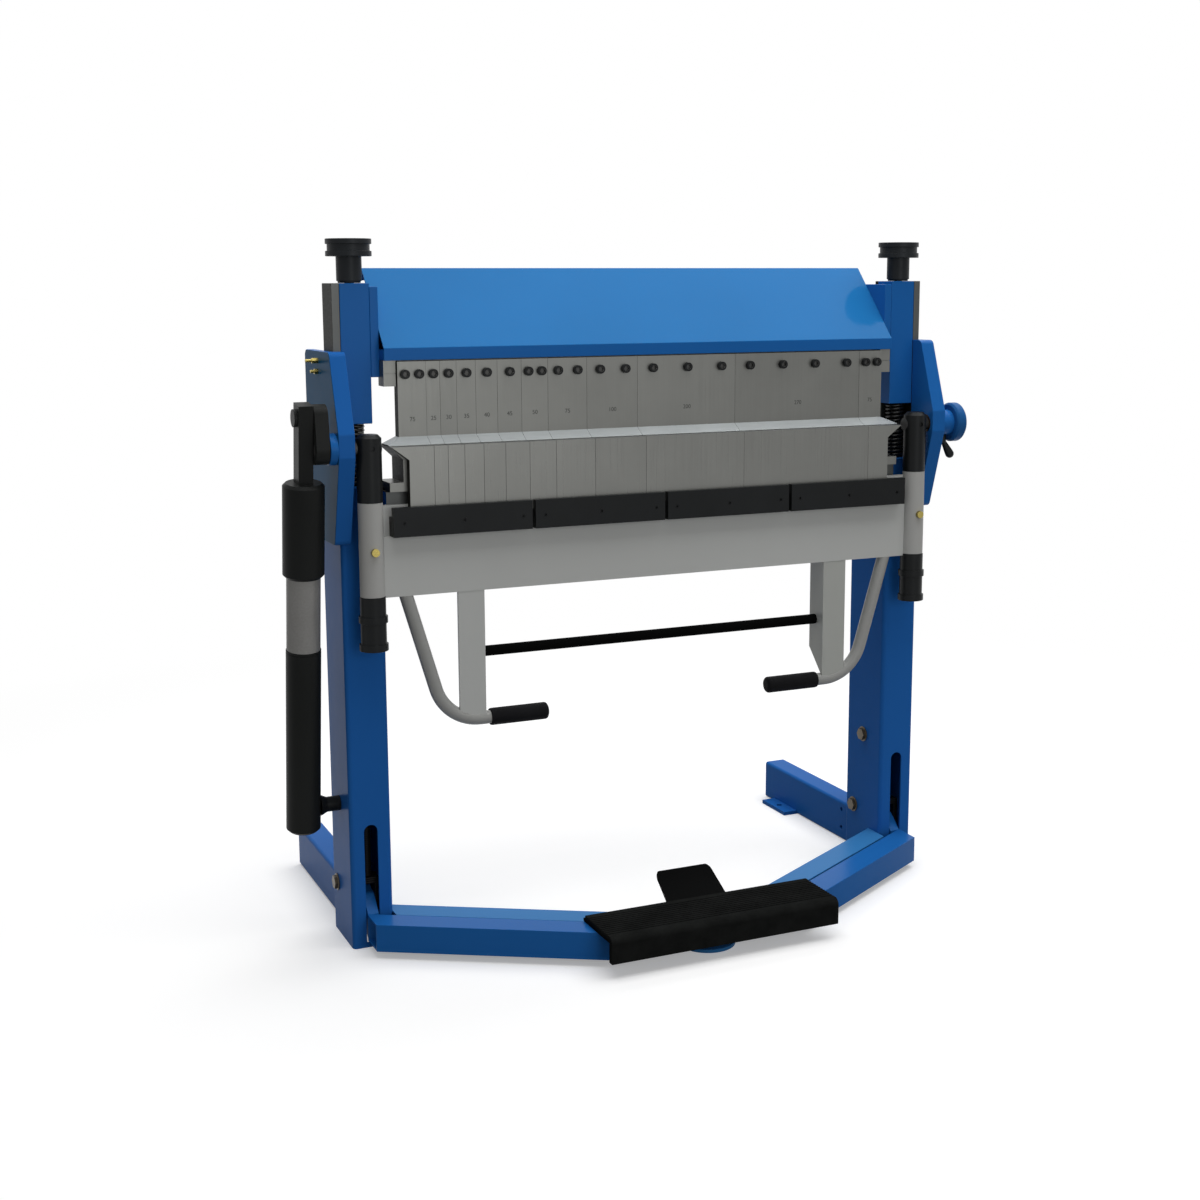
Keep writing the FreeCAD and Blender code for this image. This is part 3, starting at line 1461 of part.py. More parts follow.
def make_handle():
    """Bent handle tube: level grip end, one bend and a leaning run up to the beam."""
    body = new_body("handle_right")
    y, z = size("handle_y"), size("handle_z")
    start, top_x, top_z = size("handle_end"), size("handle_top"), size("swing_low")
    lean, bend = size("handle_slope"), size("handle_bend")
    corner = top_x - (top_z - z) / tangent(lean)
    reach = bend * tangent(lean / 2)
    over = size("handle_diameter")
    profile = new_sketch(body, "YZ", start)
    draw(profile, circle(y, z, size("handle_diameter")))
    path = new_sketch(body, "XZ", y)
    points = [
        (start, z), (corner - reach, z),
        (corner + reach * cosine(lean), z + reach * sine(lean)),
        (top_x + over * cosine(lean), top_z + over * sine(lean)),
    ]
    spots = [FreeCAD.Vector(number(u), number(v), 0) for u, v in points]
    middle = FreeCAD.Vector(spots[1].x, spots[1].y + number(bend), 0)
    swing = math.radians(number(lean) / 2 - 90)
    half_way = middle + FreeCAD.Vector(math.cos(swing), math.sin(swing), 0) * number(bend)
    path.addGeometry(Part.LineSegment(spots[0], spots[1]))
    path.addGeometry(Part.Arc(spots[1], half_way, spots[2]))
    path.addGeometry(Part.LineSegment(spots[2], spots[3]))
    pin_point(path, 0, 1, points[0])
    pin_point(path, 0, 2, points[1])
    pin_point(path, 2, 1, points[2])
    pin_point(path, 2, 2, points[3])
    path.addConstraint(Sketcher.Constraint("Coincident", 0, 2, 1, 1))
    path.addConstraint(Sketcher.Constraint("Coincident", 1, 2, 2, 1))
    path.addConstraint(Sketcher.Constraint("Radius", 1, number(bend)))
    bind(path, "Constraints[%d]" % (path.ConstraintCount - 1), bend)
    tube = body.newObject("PartDesign::AdditivePipe", "handle_tube")
    tube.Profile = profile
    tube.Spine = path
    wide = top_x + 4 * over
    recess(body, "XZ", [box(start, top_z, wide, top_z + 2 * over)], y - over, y + over)
    mirrored(body, "handle_left")


def make_grips():
    """Soft grips pushed over the handle ends."""
    body = new_body("handle_grips", 2)
    y, z = size("handle_y"), size("handle_z")
    ring = [circle(y, z, size("grip_diameter")), circle(y, z, size("handle_diameter"))]
    start = size("handle_end")
    end = start + size("grip_length")
    cap = size("spring_wire")
    prism(body, "YZ", ring, start, end)
    prism(body, "YZ", [circle(y, z, size("grip_diameter"))], start - cap, start)
    prism(body, "YZ", ring, -end, -start)
    prism(body, "YZ", [circle(y, z, size("grip_diameter"))], -start, -start + cap)


# Balancer

strut_rise = bend_z + size("crank_pin_rise") - size("anchor_z")
strut_run = size("anchor_y") - size("crank_pin_y")
strut_length = root(strut_rise * strut_rise + strut_run * strut_run)


def lean_strut(thing):
    """Stand a balancer piece on the lower pin, leaning to the crank pin."""
    thing.Placement = FreeCAD.Placement(FreeCAD.Vector(), FreeCAD.Rotation(FreeCAD.Vector(1, 0, 0), 4))
    place(thing, -strut_axis, size("anchor_y"), size("anchor_z"))
    thing.setExpression(".Placement.Rotation.Angle", "atan(%s / %s)" % (words(strut_run), words(strut_rise)))


def make_crank():
    """Crank plate on the left shaft end: round hub, tapered web and round end towards the pin."""
    body = new_body("balancer_crank")
    x0 = -(size("crank_inner") + size("crank_thickness"))
    x1 = -size("crank_inner")
    zero = Size("0", 0.0)
    y, rise = size("crank_pin_y"), size("crank_pin_rise")
    span = root(y * y + rise * rise)
    hub = size("crank_hub") / 2
    end = size("crank_end") / 2
    side_y, side_z = rise / span, y / span
    prism(body, "YZ", [circle(zero, bend_z, size("crank_hub"))], x0, x1)
    web = [
        (side_y * hub, bend_z - side_z * hub), (y + side_y * end, bend_z + rise - side_z * end),
        (y - side_y * end, bend_z + rise + side_z * end), (-side_y * hub, bend_z + side_z * hub),
    ]
    prism(body, "YZ", [web], x0, x1)
    prism(body, "YZ", [circle(y, bend_z + rise, size("crank_end"))], x0, x1)
    recess(body, "YZ", [circle(zero, bend_z, size("shaft_diameter"))], x0, x1)


def make_balancer_tube():
    """Lower tube of the balancer with a solid foot, cross bored for the lower pin."""
    body = new_body("balancer_tube")
    zero = Size("0", 0.0)
    outer = size("tube_diameter") / 2
    bore = outer - size("tube_wall")
    bevel = size("cup_chamfer")
    low = -size("tube_bottom")
    plug = size("tube_plug")
    outline = [
        (zero, low), (outer - bevel, low), (outer, low + bevel), (outer, size("tube_top")),
        (bore, size("tube_top")), (bore, plug), (zero, plug),
    ]
    turned(body, "Z", outline)
    hole = circle(zero, zero, size("anchor_bolt") + 2 * size("fit_gap"))
    depth = outer - size("anchor_end_gap") + 1
    recess(body, "YZ", [hole], -depth, outer + 1)
    lean_strut(body)


def make_balancer_liner():
    """Bright inner tube that stands in the lower tube and carries the sliding cup."""
    body = new_body("balancer_liner")
    outer = size("liner_diameter") / 2
    spigot = size("tube_diameter") / 2 - size("tube_wall")
    inner = outer - size("liner_wall")
    shoulder = size("tube_top")
    low = shoulder - size("liner_overlap")
    outline = [
        (inner, low), (spigot, low), (spigot, shoulder), (outer, shoulder),
        (outer, size("liner_top")), (inner, size("liner_top")),
    ]
    turned(body, "Z", outline)
    lean_strut(body)


def make_balancer_sleeve():
    """Sliding cup with a flat bar, its square end and the crank pin with its head."""
    body = new_body("balancer_sleeve")
    zero = Size("0", 0.0)
    outer = size("cup_diameter") / 2
    bore = size("liner_diameter") / 2 + 2 * size("fit_gap")
    bevel = size("cup_chamfer")
    low, high = size("cup_low"), size("cup_high")
    outline = [
        (bore, low), (outer - bevel, low), (outer, low + bevel), (outer, high - bevel),
        (outer - bevel, high), (zero, high), (zero, high - size("cup_top")), (bore, high - size("cup_top")),
    ]
    turned(body, "Z", outline)
    thick = size("bar_thickness") / 2
    deep = size("bar_depth") / 2
    prism(body, "YZ", [box(-deep, high - 1, deep, strut_length + size("bar_over"))], -thick, thick)
    near = strut_axis - size("crank_inner") - size("crank_thickness") - size("run_gap")
    head = size("crank_pin_head_height")
    prism(body, "YZ", [circle(zero, strut_length, size("crank_pin"))], zero, near)
    prism(body, "YZ", [circle(zero, strut_length, size("crank_pin_head"))], -thick - head, -thick)
    lean_strut(body)


make_column()
make_rear_foot()
make_base_stretcher()
make_guide()
make_cheek()
make_pivot_boss()
make_bushes()
make_nipples()
make_lower_beam()
make_lower_segments()
make_column_bolts()
make_anchor_pin()
make_collar()
make_disc()
make_clamp_lever()
make_hood()
make_upper_beam()
make_slider_block()
make_tool_holder()
make_upper_segments()
make_segment_bolts()
make_tie_rod()
make_return_spring()
make_handwheel()
make_pedal_lever()
make_pedal_bar()
make_pedal_plate()
make_pedal_mat()
make_folding_beam()
make_folding_segments()
make_clamp_strips()
make_strip_screws()
make_arm_sleeve()
make_sleeve_screws()
make_pivot_block()
make_pivot_shafts()
make_adjusting_nut()
make_handle()
make_brace_leg()
make_brace_rod()
make_grips()
make_crank()
make_balancer_tube()
make_balancer_liner()
make_balancer_sleeve()

doc.recompute()
failed = [thing.Label for thing in doc.Objects if "Invalid" in thing.State or "Error" in thing.State]
if failed:
    raise RuntimeError("failed: " + ", ".join(failed))
for thing in doc.Objects:
    if thing.TypeId == "PartDesign::Pocket":
        cut = thing.BaseFeature.Shape.Volume - thing.Shape.Volume
        if cut < 1.0:
            raise RuntimeError("cuts nothing: %s" % thing.Name)
bad = [node.Label for node in nodes if node.Shape.isNull() or not node.Shape.isValid()]
if bad:
    raise RuntimeError("bad shape: " + ", ".join(bad))
for node in nodes:
    node.Shape.exportStep("parts/%s.step" % node.Label)
    print("%-22s solids %2d  volume %.0f" % (node.Label, len(node.Shape.Solids), node.Shape.Volume))
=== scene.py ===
import logging
import math
from dataclasses import dataclass
from enum import Enum
from typing import Callable, Sequence

import bpy
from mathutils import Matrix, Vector


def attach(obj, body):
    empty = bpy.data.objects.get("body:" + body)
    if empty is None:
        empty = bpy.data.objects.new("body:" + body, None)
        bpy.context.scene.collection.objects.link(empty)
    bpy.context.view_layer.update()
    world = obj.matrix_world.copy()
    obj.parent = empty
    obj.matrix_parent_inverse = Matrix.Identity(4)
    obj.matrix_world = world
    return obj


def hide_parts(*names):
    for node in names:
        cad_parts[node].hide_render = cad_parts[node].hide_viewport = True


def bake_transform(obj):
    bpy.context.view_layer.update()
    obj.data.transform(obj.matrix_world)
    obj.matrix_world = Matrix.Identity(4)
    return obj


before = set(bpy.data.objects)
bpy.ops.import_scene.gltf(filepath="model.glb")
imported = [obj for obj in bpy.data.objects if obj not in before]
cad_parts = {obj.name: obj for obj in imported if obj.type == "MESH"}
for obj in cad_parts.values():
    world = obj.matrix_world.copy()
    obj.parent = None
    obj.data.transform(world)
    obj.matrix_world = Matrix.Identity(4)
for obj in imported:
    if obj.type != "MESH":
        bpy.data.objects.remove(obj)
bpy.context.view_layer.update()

logging.basicConfig(level=logging.INFO, format="%(name)s: %(message)s")
log = logging.getLogger("folder")

Point = tuple[float, float, float]
Colour = tuple[float, float, float]
Piece = bpy.types.Object
Socket = bpy.types.NodeSocket
FaceTest = Callable[[Vector, Vector], bool]
CornerTest = Callable[[Vector], bool]

ORIGIN: Point = (0.0, 0.0, 0.0)
ALONG_X: Point = (0.0, math.pi / 2, 0.0)  # turns an upright axis along X
ALONG_Y: Point = (math.pi / 2, 0.0, 0.0)  # turns an upright axis along Y
MM = 1000  # millimetres in a metre


# Names shared by the whole machine


class Body(Enum):
    """Moving and standing bodies of the machine."""

    STAND = "stand"
    CLAMPING_BEAM = "clamping_beam"
    WHEEL_RIGHT = "handwheel_r"
    WHEEL_LEFT = "handwheel_l"
    PEDAL = "pedal"
    WING = "folding_wing"
    NUT_RIGHT = "nut_r"
    NUT_LEFT = "nut_l"
    STOP_DISC = "stop_disc"
    STOP_LEVER = "stop_lever"
    STRUT_TUBE = "strut_tube"
    STRUT_CUP = "strut_cup"


class Slot(Enum):
    """Paint and metal slots."""

    BLUE = "blue_paint"
    GREY = "grey_paint"
    GROUND = "ground_steel"
    BRIGHT = "bright_steel"
    BLACK = "black_steel"
    RUBBER = "black_rubber"
    BRONZE = "bronze"
    BRASS = "brass"


class Grain(Enum):
    """Direction in which a metal surface was ground or turned."""

    UPRIGHT = (520.0, 520.0, 5.0)
    LEVEL = (5.0, 520.0, 520.0)
    EVEN = (260.0, 260.0, 260.0)


# Node boards and finishes


class Board:
    """Node tree of one material or world, with short calls to add and join nodes."""

    def __init__(
        self, owner: bpy.types.Material | bpy.types.World, output: str = "ShaderNodeOutputMaterial"
    ) -> None:
        """Empty the node tree of a material or world and add its output."""
        owner.use_nodes = True
        self.owner = owner
        self.tree = owner.node_tree
        self.tree.nodes.clear()
        self.output = self.add(output)

    def add(self, kind: str, *sources: Socket, **values: object) -> bpy.types.Node:
        """Add a node.

        Args:
            kind: Type of the node.
            sources: Sockets that are joined to its first inputs, in their order.
            values: Properties of the node, or its inputs when no property has the name.

        Returns:
            The new node.
        """
        node = self.tree.nodes.new(kind)
        for name, value in values.items():
            if hasattr(node, name):
                setattr(node, name, value)
            else:
                node.inputs[name.replace("_", " ")].default_value = value
        for source, target in zip(sources, node.inputs):
            self.join(source, target)
        return node

    def join(self, source: Socket, target: Socket) -> None:
        """Join two sockets."""
        self.tree.links.new(source, target)

    def show(self, surface: Socket) -> None:
        """Join a shader to the output."""
        self.join(surface, self.output.inputs["Surface"])

    def combine(self, operation: str, first: Socket, second: Socket) -> Socket:
        """Result of a maths operation on two values."""
        return self.add("ShaderNodeMath", first, second, operation=operation).outputs[0]

    def mix(self, share: Socket, first: Socket, second: Socket) -> Socket:
        """Mix of two shaders, by the share of the second."""
        return self.add("ShaderNodeMixShader", share, first, second).outputs[0]

    def place(self, stretch: Point = (1.0, 1.0, 1.0)) -> Socket:
        """Object coordinates, stretched by a factor along each axis."""
        spot = self.add("ShaderNodeTexCoord").outputs["Object"]
        return self.add("ShaderNodeMapping", spot, Scale=stretch).outputs["Vector"]

    def noise(self, spot: Socket, scale: float, detail: float = 2.0, rough: float = 0.5) -> Socket:
        """Grey noise on given coordinates.

        Args:
            spot: Socket with the coordinates.
            scale: Size factor of the noise.
            detail: Octaves.
            rough: Weight of the finer octaves.

        Returns:
            Socket with the noise from 0 to 1.
        """
        node = self.add("ShaderNodeTexNoise", spot, Scale=scale, Detail=detail, Roughness=rough)
        return node.outputs["Fac"]

    def spread(self, value: Socket, low: float, high: float, start: float = 0.3, stop: float = 0.7) -> Socket:
        """Map a value to a range.

        Args:
            value: Socket to map.
            low: Result at start.
            high: Result at stop.
            start: Lower end of the value.
            stop: Upper end of the value.

        Returns:
            Socket with the mapped value.
        """
        node = self.add("ShaderNodeMapRange", value, From_Min=start, From_Max=stop, To_Min=low, To_Max=high)
        return node.outputs["Result"]

    def tones(self, share: Socket, colour: Colour, low: float, high: float) -> Socket:
        """Mix a darker and a lighter tone of a colour.

        Args:
            share: Socket with the share of the lighter tone.
            colour: Colour between the two.
            low: Factor of the darker tone.
            high: Factor of the lighter tone.

        Returns:
            Socket with the colour.
        """
        node = self.add("ShaderNodeMix", share, data_type="RGBA")
        for socket in node.inputs:
            if socket.type == "RGBA":
                socket.default_value = (*tint(colour, low if socket.name == "A" else high), 1.0)
        return [socket for socket in node.outputs if socket.type == "RGBA"][0]

    def relief(self, height: Socket, strength: float, distance: float, under: Socket | None = None) -> Socket:
        """Bump from a height.

        Args:
            height: Socket with the height from 0 to 1.
            strength: Share of the bump.
            distance: Height in metres.
            under: Normal that this bump adds to.

        Returns:
            Socket with the normal.
        """
        node = self.add("ShaderNodeBump", Strength=strength, Distance=distance)
        self.join(height, node.inputs["Height"])
        if under is not None:
            self.join(under, node.inputs["Normal"])
        return node.outputs["Normal"]

    def finish(self, **values: object) -> bpy.types.Material:
        """Add the surface shader, join or set its inputs, and hand over the material."""
        shader = self.add("ShaderNodeBsdfPrincipled")
        for name, value in values.items():
            target = shader.inputs[name.replace("_", " ")]
            if isinstance(value, Socket):
                self.join(value, target)
            else:
                target.default_value = value
        self.show(shader.outputs["BSDF"])
        return self.owner


def tint(colour: Colour, factor: float) -> Colour:
    """Tone of a colour: each channel times a factor, and no more than one."""
    return tuple(min(1.0, channel * factor) for channel in colour)


@dataclass(frozen=True)
class Finish:
    """Base of every finish: tones of one colour on a surface that is rougher in patches."""

    name: str
    colour: Colour
    roughness: float = 0.3
    smoother: float = 0.015
    rougher: float = 0.02
    metallic: float = 0.0
    level: float = 0.2

    def material(self) -> bpy.types.Material:
        """Build the material."""
        board = Board(bpy.data.materials.new(self.name))
        tone, patches, normal = self.surface(board)
        rough = board.spread(patches, self.roughness - self.smoother, self.roughness + self.rougher)
        return board.finish(
            Base_Color=tone, Roughness=rough, Normal=normal, Metallic=self.metallic,
            Specular_IOR_Level=self.level,
        )

    def surface(self, board: Board) -> tuple[Socket, Socket, Socket]:
        """Colour, patches of roughness and normal of the surface."""
        raise NotImplementedError


@dataclass(frozen=True)
class Paint(Finish):
    """Sprayed paint with orange peel, slight cloudiness and rubbed spots."""

    cloud: float = 0.03
    peel: float = 0.00005
    peel_scale: float = 420.0
    peel_share: float = 0.3
    speck_share: float = 0.06

    def surface(self, board: Board) -> tuple[Socket, Socket, Socket]:
        """Colour, patches of roughness and normal of the surface."""
        spot = board.place()
        cloud = board.noise(spot, scale=4.0, detail=3.0)
        tone = board.tones(board.spread(cloud, 0.0, 1.0), self.colour, 1 - self.cloud, 1 + self.cloud)
        peel = board.relief(board.noise(spot, self.peel_scale, detail=1.0), self.peel_share, self.peel)
        speck = board.noise(spot, scale=160.0, detail=5.0, rough=0.7)
        specks = board.spread(speck, 0.0, 1.0, start=0.62, stop=0.8)
        grit = board.relief(specks, self.speck_share, self.peel, peel)
        return tone, board.noise(spot, scale=32.0, detail=6.0, rough=0.65), grit


@dataclass(frozen=True)
class Metal(Finish):
    """Ground, drawn or turned metal with grain and stains, and a tone of its own for each part."""

    roughness: float = 0.35
    smoother: float = 0.06
    rougher: float = 0.08
    metallic: float = 0.6
    level: float = 0.5
    grain: Grain = Grain.EVEN
    depth: float = 0.00005
    depth_share: float = 0.4
    stain: float = 0.08
    streak: float = 0.05
    pieces: float = 0.0

    def surface(self, board: Board) -> tuple[Socket, Socket, Socket]:
        """Colour, patches of roughness and normal of the surface."""
        lines = board.noise(board.place(self.grain.value), scale=1.0, detail=3.0, rough=0.6)
        stain = board.noise(board.place(), scale=7.0, detail=5.0, rough=0.6)
        stains = board.spread(stain, 0.0, self.stain)
        share = board.combine("ADD", stains, board.spread(lines, 0.0, self.streak))
        span = self.stain + self.streak
        low, high = 1 - self.stain - self.streak, 1 + self.stain + self.streak
        if self.pieces:
            island = board.add("ShaderNodeNewGeometry").outputs["Random Per Island"]
            share = board.combine("ADD", share, board.spread(island, 0.0, self.pieces, 0.0, 1.0))
            span += self.pieces
        tone = board.tones(board.spread(share, 0.0, 1.0, 0.0, span), self.colour, low, high)
        return tone, lines, board.relief(lines, self.depth_share, self.depth)


@dataclass(frozen=True)
class Rubber(Finish):
    """Moulded rubber with a fine grain and dusty tone."""

    roughness: float = 0.7
    smoother: float = 0.08
    rougher: float = 0.1
    level: float = 0.03
    dark: float = 0.75
    dusty: float = 1.5
    grain: float = 900.0
    depth: float = 0.00015
    depth_share: float = 0.5

    def surface(self, board: Board) -> tuple[Socket, Socket, Socket]:
        """Colour, patches of roughness and normal of the surface."""
        spot = board.place()
        dust = board.noise(spot, scale=18.0, detail=6.0, rough=0.7)
        tone = board.tones(board.spread(dust, 0.0, 1.0), self.colour, self.dark, self.dusty)
        return tone, dust, board.relief(board.noise(spot, self.grain), self.depth_share, self.depth)


@dataclass(frozen=True)
class Thread(Finish):
    """Rolled screw thread, drawn by a fine wave in the surface."""

    roughness: float = 0.4
    smoother: float = 0.05
    rougher: float = 0.1
    metallic: float = 0.8
    level: float = 0.06
    dark: float = 0.55
    light: float = 1.2
    wave: float = 79.577285
    depth: float = 0.0005
    depth_share: float = 0.8

    def surface(self, board: Board) -> tuple[Socket, Socket, Socket]:
        """Colour, patches of roughness and normal of the surface."""
        spot = board.place()
        wave = board.add("ShaderNodeTexWave", spot, wave_type="BANDS", bands_direction="Z", Scale=self.wave)
        height = wave.outputs["Fac"]
        # tone follows the wave: grooves painted darker and crests lighter, as painted shade and highlight
        tone = board.tones(height, self.colour, self.dark, self.light)
        patches = board.noise(spot, scale=60.0, detail=4.0)
        return tone, patches, board.relief(height, self.depth_share, self.depth)


BLUE = Paint("blue_enamel", (0.013, 0.122, 0.4), roughness=0.25, level=0.05)
# lighter, greener blue for the hood's upper faces: painted light; its front faces keep the plain blue
HOOD_LIT = Paint("hood_painted_light_enamel", (0.015, 0.158, 0.42), roughness=0.1, level=0.05)
FRAME = Paint("frame_enamel", (0.017, 0.124, 0.42), level=0.02)
# lighter blue for the floor bar: painted light from the floor's bounce
BOUNCE_LIT_BLUE = Paint("floor_bar_painted_bounce_light", (0.036, 0.185, 0.45), level=0.04)
# darker blue for the left cheek's outward side: painted shade
SIDE_SHADE = Paint("cheek_side_painted_shade", (0.006, 0.095, 0.22), level=0.01)
# darker blue for the angle stop disc: painted shade
DISC_SHADE = Paint("disc_painted_shade_enamel", (0.014, 0.095, 0.28), level=0.05)
# darker copy of the silver enamel for the right brace leg: painted shade
SHADED = Paint("shaded_leg_enamel", (0.41, 0.42, 0.395), roughness=0.4, level=0.3)
GREY = Paint("silver_enamel", (0.49, 0.5, 0.485), roughness=0.4, level=0.3)
BLACK = Paint("black_enamel", (0.013, 0.014, 0.0135), roughness=0.4, level=0.06, cloud=0.2)
MATT = Paint("matt_black", (0.0036, 0.0038, 0.0038), roughness=0.6, level=0.005, cloud=0.2)
OXIDE = Metal("black_oxide", (0.009, 0.01, 0.0105), roughness=0.38, metallic=0.2, stain=0.25, level=0.12)
WHEEL = Metal("wheel_oxide", (0.013, 0.015, 0.017), roughness=0.4, metallic=0.2, stain=0.2, level=0.12)
SEGMENT = Metal(
    "ground_segments", (0.14, 0.142, 0.133), roughness=0.36, metallic=0.7, grain=Grain.UPRIGHT, pieces=0.06
)
BLADE = Metal(
    "ground_blades", (0.15, 0.152, 0.143), roughness=0.32, metallic=0.75, grain=Grain.UPRIGHT, pieces=0.05
)
# lighter, bluer steel for the segments' upward sloped nose faces: painted light from above; the level grain
# is real grinding
BEVEL = Metal(
    "ground_bevel_painted_light", (0.36, 0.385, 0.39), roughness=0.42, metallic=0.35, level=0.3, grain=Grain.LEVEL,
    pieces=0.03,
)
# near-black steel for sideways faces and for faces tucked under ledges: painted shade
FLANK_SHADE = Metal("painted_flank_shade", (0.011, 0.0115, 0.0095), roughness=0.5, metallic=0.1, level=0.06)
RAIL = Metal(
    "ground_rail", (0.085, 0.09, 0.088), roughness=0.36, metallic=0.35, level=0.2, grain=Grain.UPRIGHT
)
# lighter steel inside the hexagon sockets: painted glints
SOCKET_GLINT = Metal("painted_socket_glints", (0.05, 0.05, 0.048), roughness=0.35, metallic=0.5, level=0.3)
SPRING = Metal("spring_wire", (0.006, 0.0065, 0.007), roughness=0.3, metallic=0.1, level=0.35)
LINER = Metal("turned_liner", (0.27, 0.266, 0.256), roughness=0.34, metallic=0.1, level=0.05)
SHAFT = Metal("dull_shaft", (0.05, 0.05, 0.05), roughness=0.4, metallic=0.4, level=0.2)
ZINC = Metal("yellowed_bolt", (0.085, 0.068, 0.045), roughness=0.36, metallic=0.6, stain=0.3)
SLEEVE = Paint("sleeve_silver", (0.43, 0.43, 0.415), level=0.03, cloud=0.02, peel=0.00001)
HANDLE = Paint("silver_handles", (0.33, 0.332, 0.32), roughness=0.27, level=0.15, cloud=0.02, peel=0.00001)
BRASS = Metal("turned_brass", (0.36, 0.29, 0.085), roughness=0.25, metallic=0.9)
# very dark bronze for the bush flanges in the gap between blocks and cheeks: painted shade in the gap
BRONZE = Metal("bronze_painted_shade", (0.05, 0.034, 0.018), roughness=0.4, metallic=0.6)
GRIP = Rubber("grip_rubber", (0.008, 0.008, 0.009), roughness=0.55)
MAT = Rubber("ribbed_rubber", (0.01, 0.0105, 0.0102), roughness=0.66, level=0.002)
ROD = Thread("rod_thread", (0.01, 0.01, 0.0105), metallic=0.05)
INK = Paint("width_marks", (0.035, 0.036, 0.035), roughness=0.5, cloud=0.06)


class Paintshop:
    """Keeps one material for each finish."""

    def __init__(self) -> None:
        """Start with no material made."""
        self.made: dict[str, bpy.types.Material] = {}

    def coat(self, piece: Piece, finish: Finish) -> None:
        """Give a piece one finish all over."""
        piece.data.materials.clear()
        piece.data.materials.append(self.mixed(finish))

    def coat_faces(self, piece: Piece, finish: Finish, test: FaceTest) -> None:
        """Give the faces of a coated piece for which the test is true another finish."""
        piece.data.materials.append(self.mixed(finish))
        choose(piece, "FACE", test)
        piece.active_material_index = len(piece.data.materials) - 1
        bpy.ops.object.material_slot_assign()
        switch("OBJECT")

    def mixed(self, finish: Finish) -> bpy.types.Material:
        """The material of a finish, built when it is first asked for."""
        if finish.name not in self.made:
            self.made[finish.name] = finish.material()
        return self.made[finish.name]


# Modelling moves


SEED = 0.001  # side of the plane that shrinks to an outline's first corner, in metres
DOUBLE = 0.00001  # corners closer than this are one, in metres
CAD_DOUBLE = 0.000005  # the same in the copy of a CAD node
FLAT = math.radians(0.6)  # faces that meet at less than this are one
CREASE = math.radians(40)  # edges sharper than this are shaded sharp
CORNER = 32.0  # edges sharper than this are rounded, in degrees
FACE_WEIGHT = 80  # weight of large faces in the shading
CLOSE = 0.001  # how far a corner may be from the height or depth that it is chosen by
SIDEWAYS = 0.45  # share of a normal along X from which a face looks sideways
LEANING = 0.3  # share of a normal along an axis from which a face leans that way
HALF_ON = 0.5  # share from which it looks roughly that way
FLAT_ON = 0.9  # share from which it looks straight that way


def switch(mode: str) -> None:
    """Take the active piece to object or edit mode."""
    bpy.ops.object.mode_set(mode=mode)


def clear_selection() -> None:
    """Leave edit mode and deselect every object."""
    if bpy.context.object is not None and bpy.context.object.mode != "OBJECT":
        switch("OBJECT")
    bpy.ops.object.select_all(action="DESELECT")


def take(piece: Piece) -> None:
    """Select one piece alone and make it active."""
    clear_selection()
    piece.select_set(True)
    bpy.context.view_layer.objects.active = piece


def settle(name: str) -> Piece:
    """Name the active piece, move its place into its mesh and return it."""
    piece = bpy.context.object
    piece.name = name
    piece.data.name = name
    bpy.ops.object.transform_apply()
    return piece


def choose(piece: Piece, kind: str, test: FaceTest | CornerTest) -> None:
    """Enter edit mode with some faces or corners selected.

    Args:
        piece: Piece to edit.
        kind: FACE or VERT.
        test: Takes a face's centre and normal, or a corner's place, and says whether it is selected.
    """
    take(piece)
    switch("EDIT")
    bpy.ops.mesh.select_mode(type=kind)
    bpy.ops.mesh.select_all(action="DESELECT")
    switch("OBJECT")
    if kind == "FACE":
        for face in piece.data.polygons:
            face.select = test(face.center, face.normal)
    else:
        for corner in piece.data.vertices:
            corner.select = test(corner.co)
    switch("EDIT")


def shift_part(piece: Piece, test: CornerTest, move: Point) -> None:
    """Move the corners of a piece for whose places the test is true."""
    choose(piece, "VERT", test)
    bpy.ops.transform.translate(value=move)
    switch("OBJECT")


def apply_modifier(piece: Piece, kind: str, **values: object) -> None:
    """Add a modifier of a given type and with given properties, and apply it."""
    take(piece)
    modifier = piece.modifiers.new(kind.lower(), kind)
    for name, value in values.items():
        setattr(modifier, name, value)
    bpy.ops.object.modifier_apply(modifier=modifier.name)


def ease_edges(piece: Piece, width: float, segments: int = 2, limit: float = CORNER) -> None:
    """Round the sharp edges and shade the piece smooth between them.

    Args:
        piece: Piece to ease.
        width: Width of the rounding in metres.
        segments: Faces across the rounding.
        limit: Least angle of an edge that is rounded, in degrees.
    """
    if width > 0:
        apply_modifier(
            piece, "BEVEL", width=width, segments=segments, limit_method="ANGLE",
            angle_limit=math.radians(limit), harden_normals=False, miter_outer="MITER_ARC",
        )
    take(piece)
    bpy.ops.object.shade_smooth_by_angle(angle=CREASE)
    apply_modifier(piece, "WEIGHTED_NORMAL", weight=FACE_WEIGHT, keep_sharp=True)


def close_up(piece: Piece) -> None:
    """Merge doubles and turn all faces outwards."""
    take(piece)
    switch("EDIT")
    bpy.ops.mesh.select_all(action="SELECT")
    bpy.ops.mesh.remove_doubles(threshold=DOUBLE)
    bpy.ops.mesh.normals_make_consistent()
    switch("OBJECT")


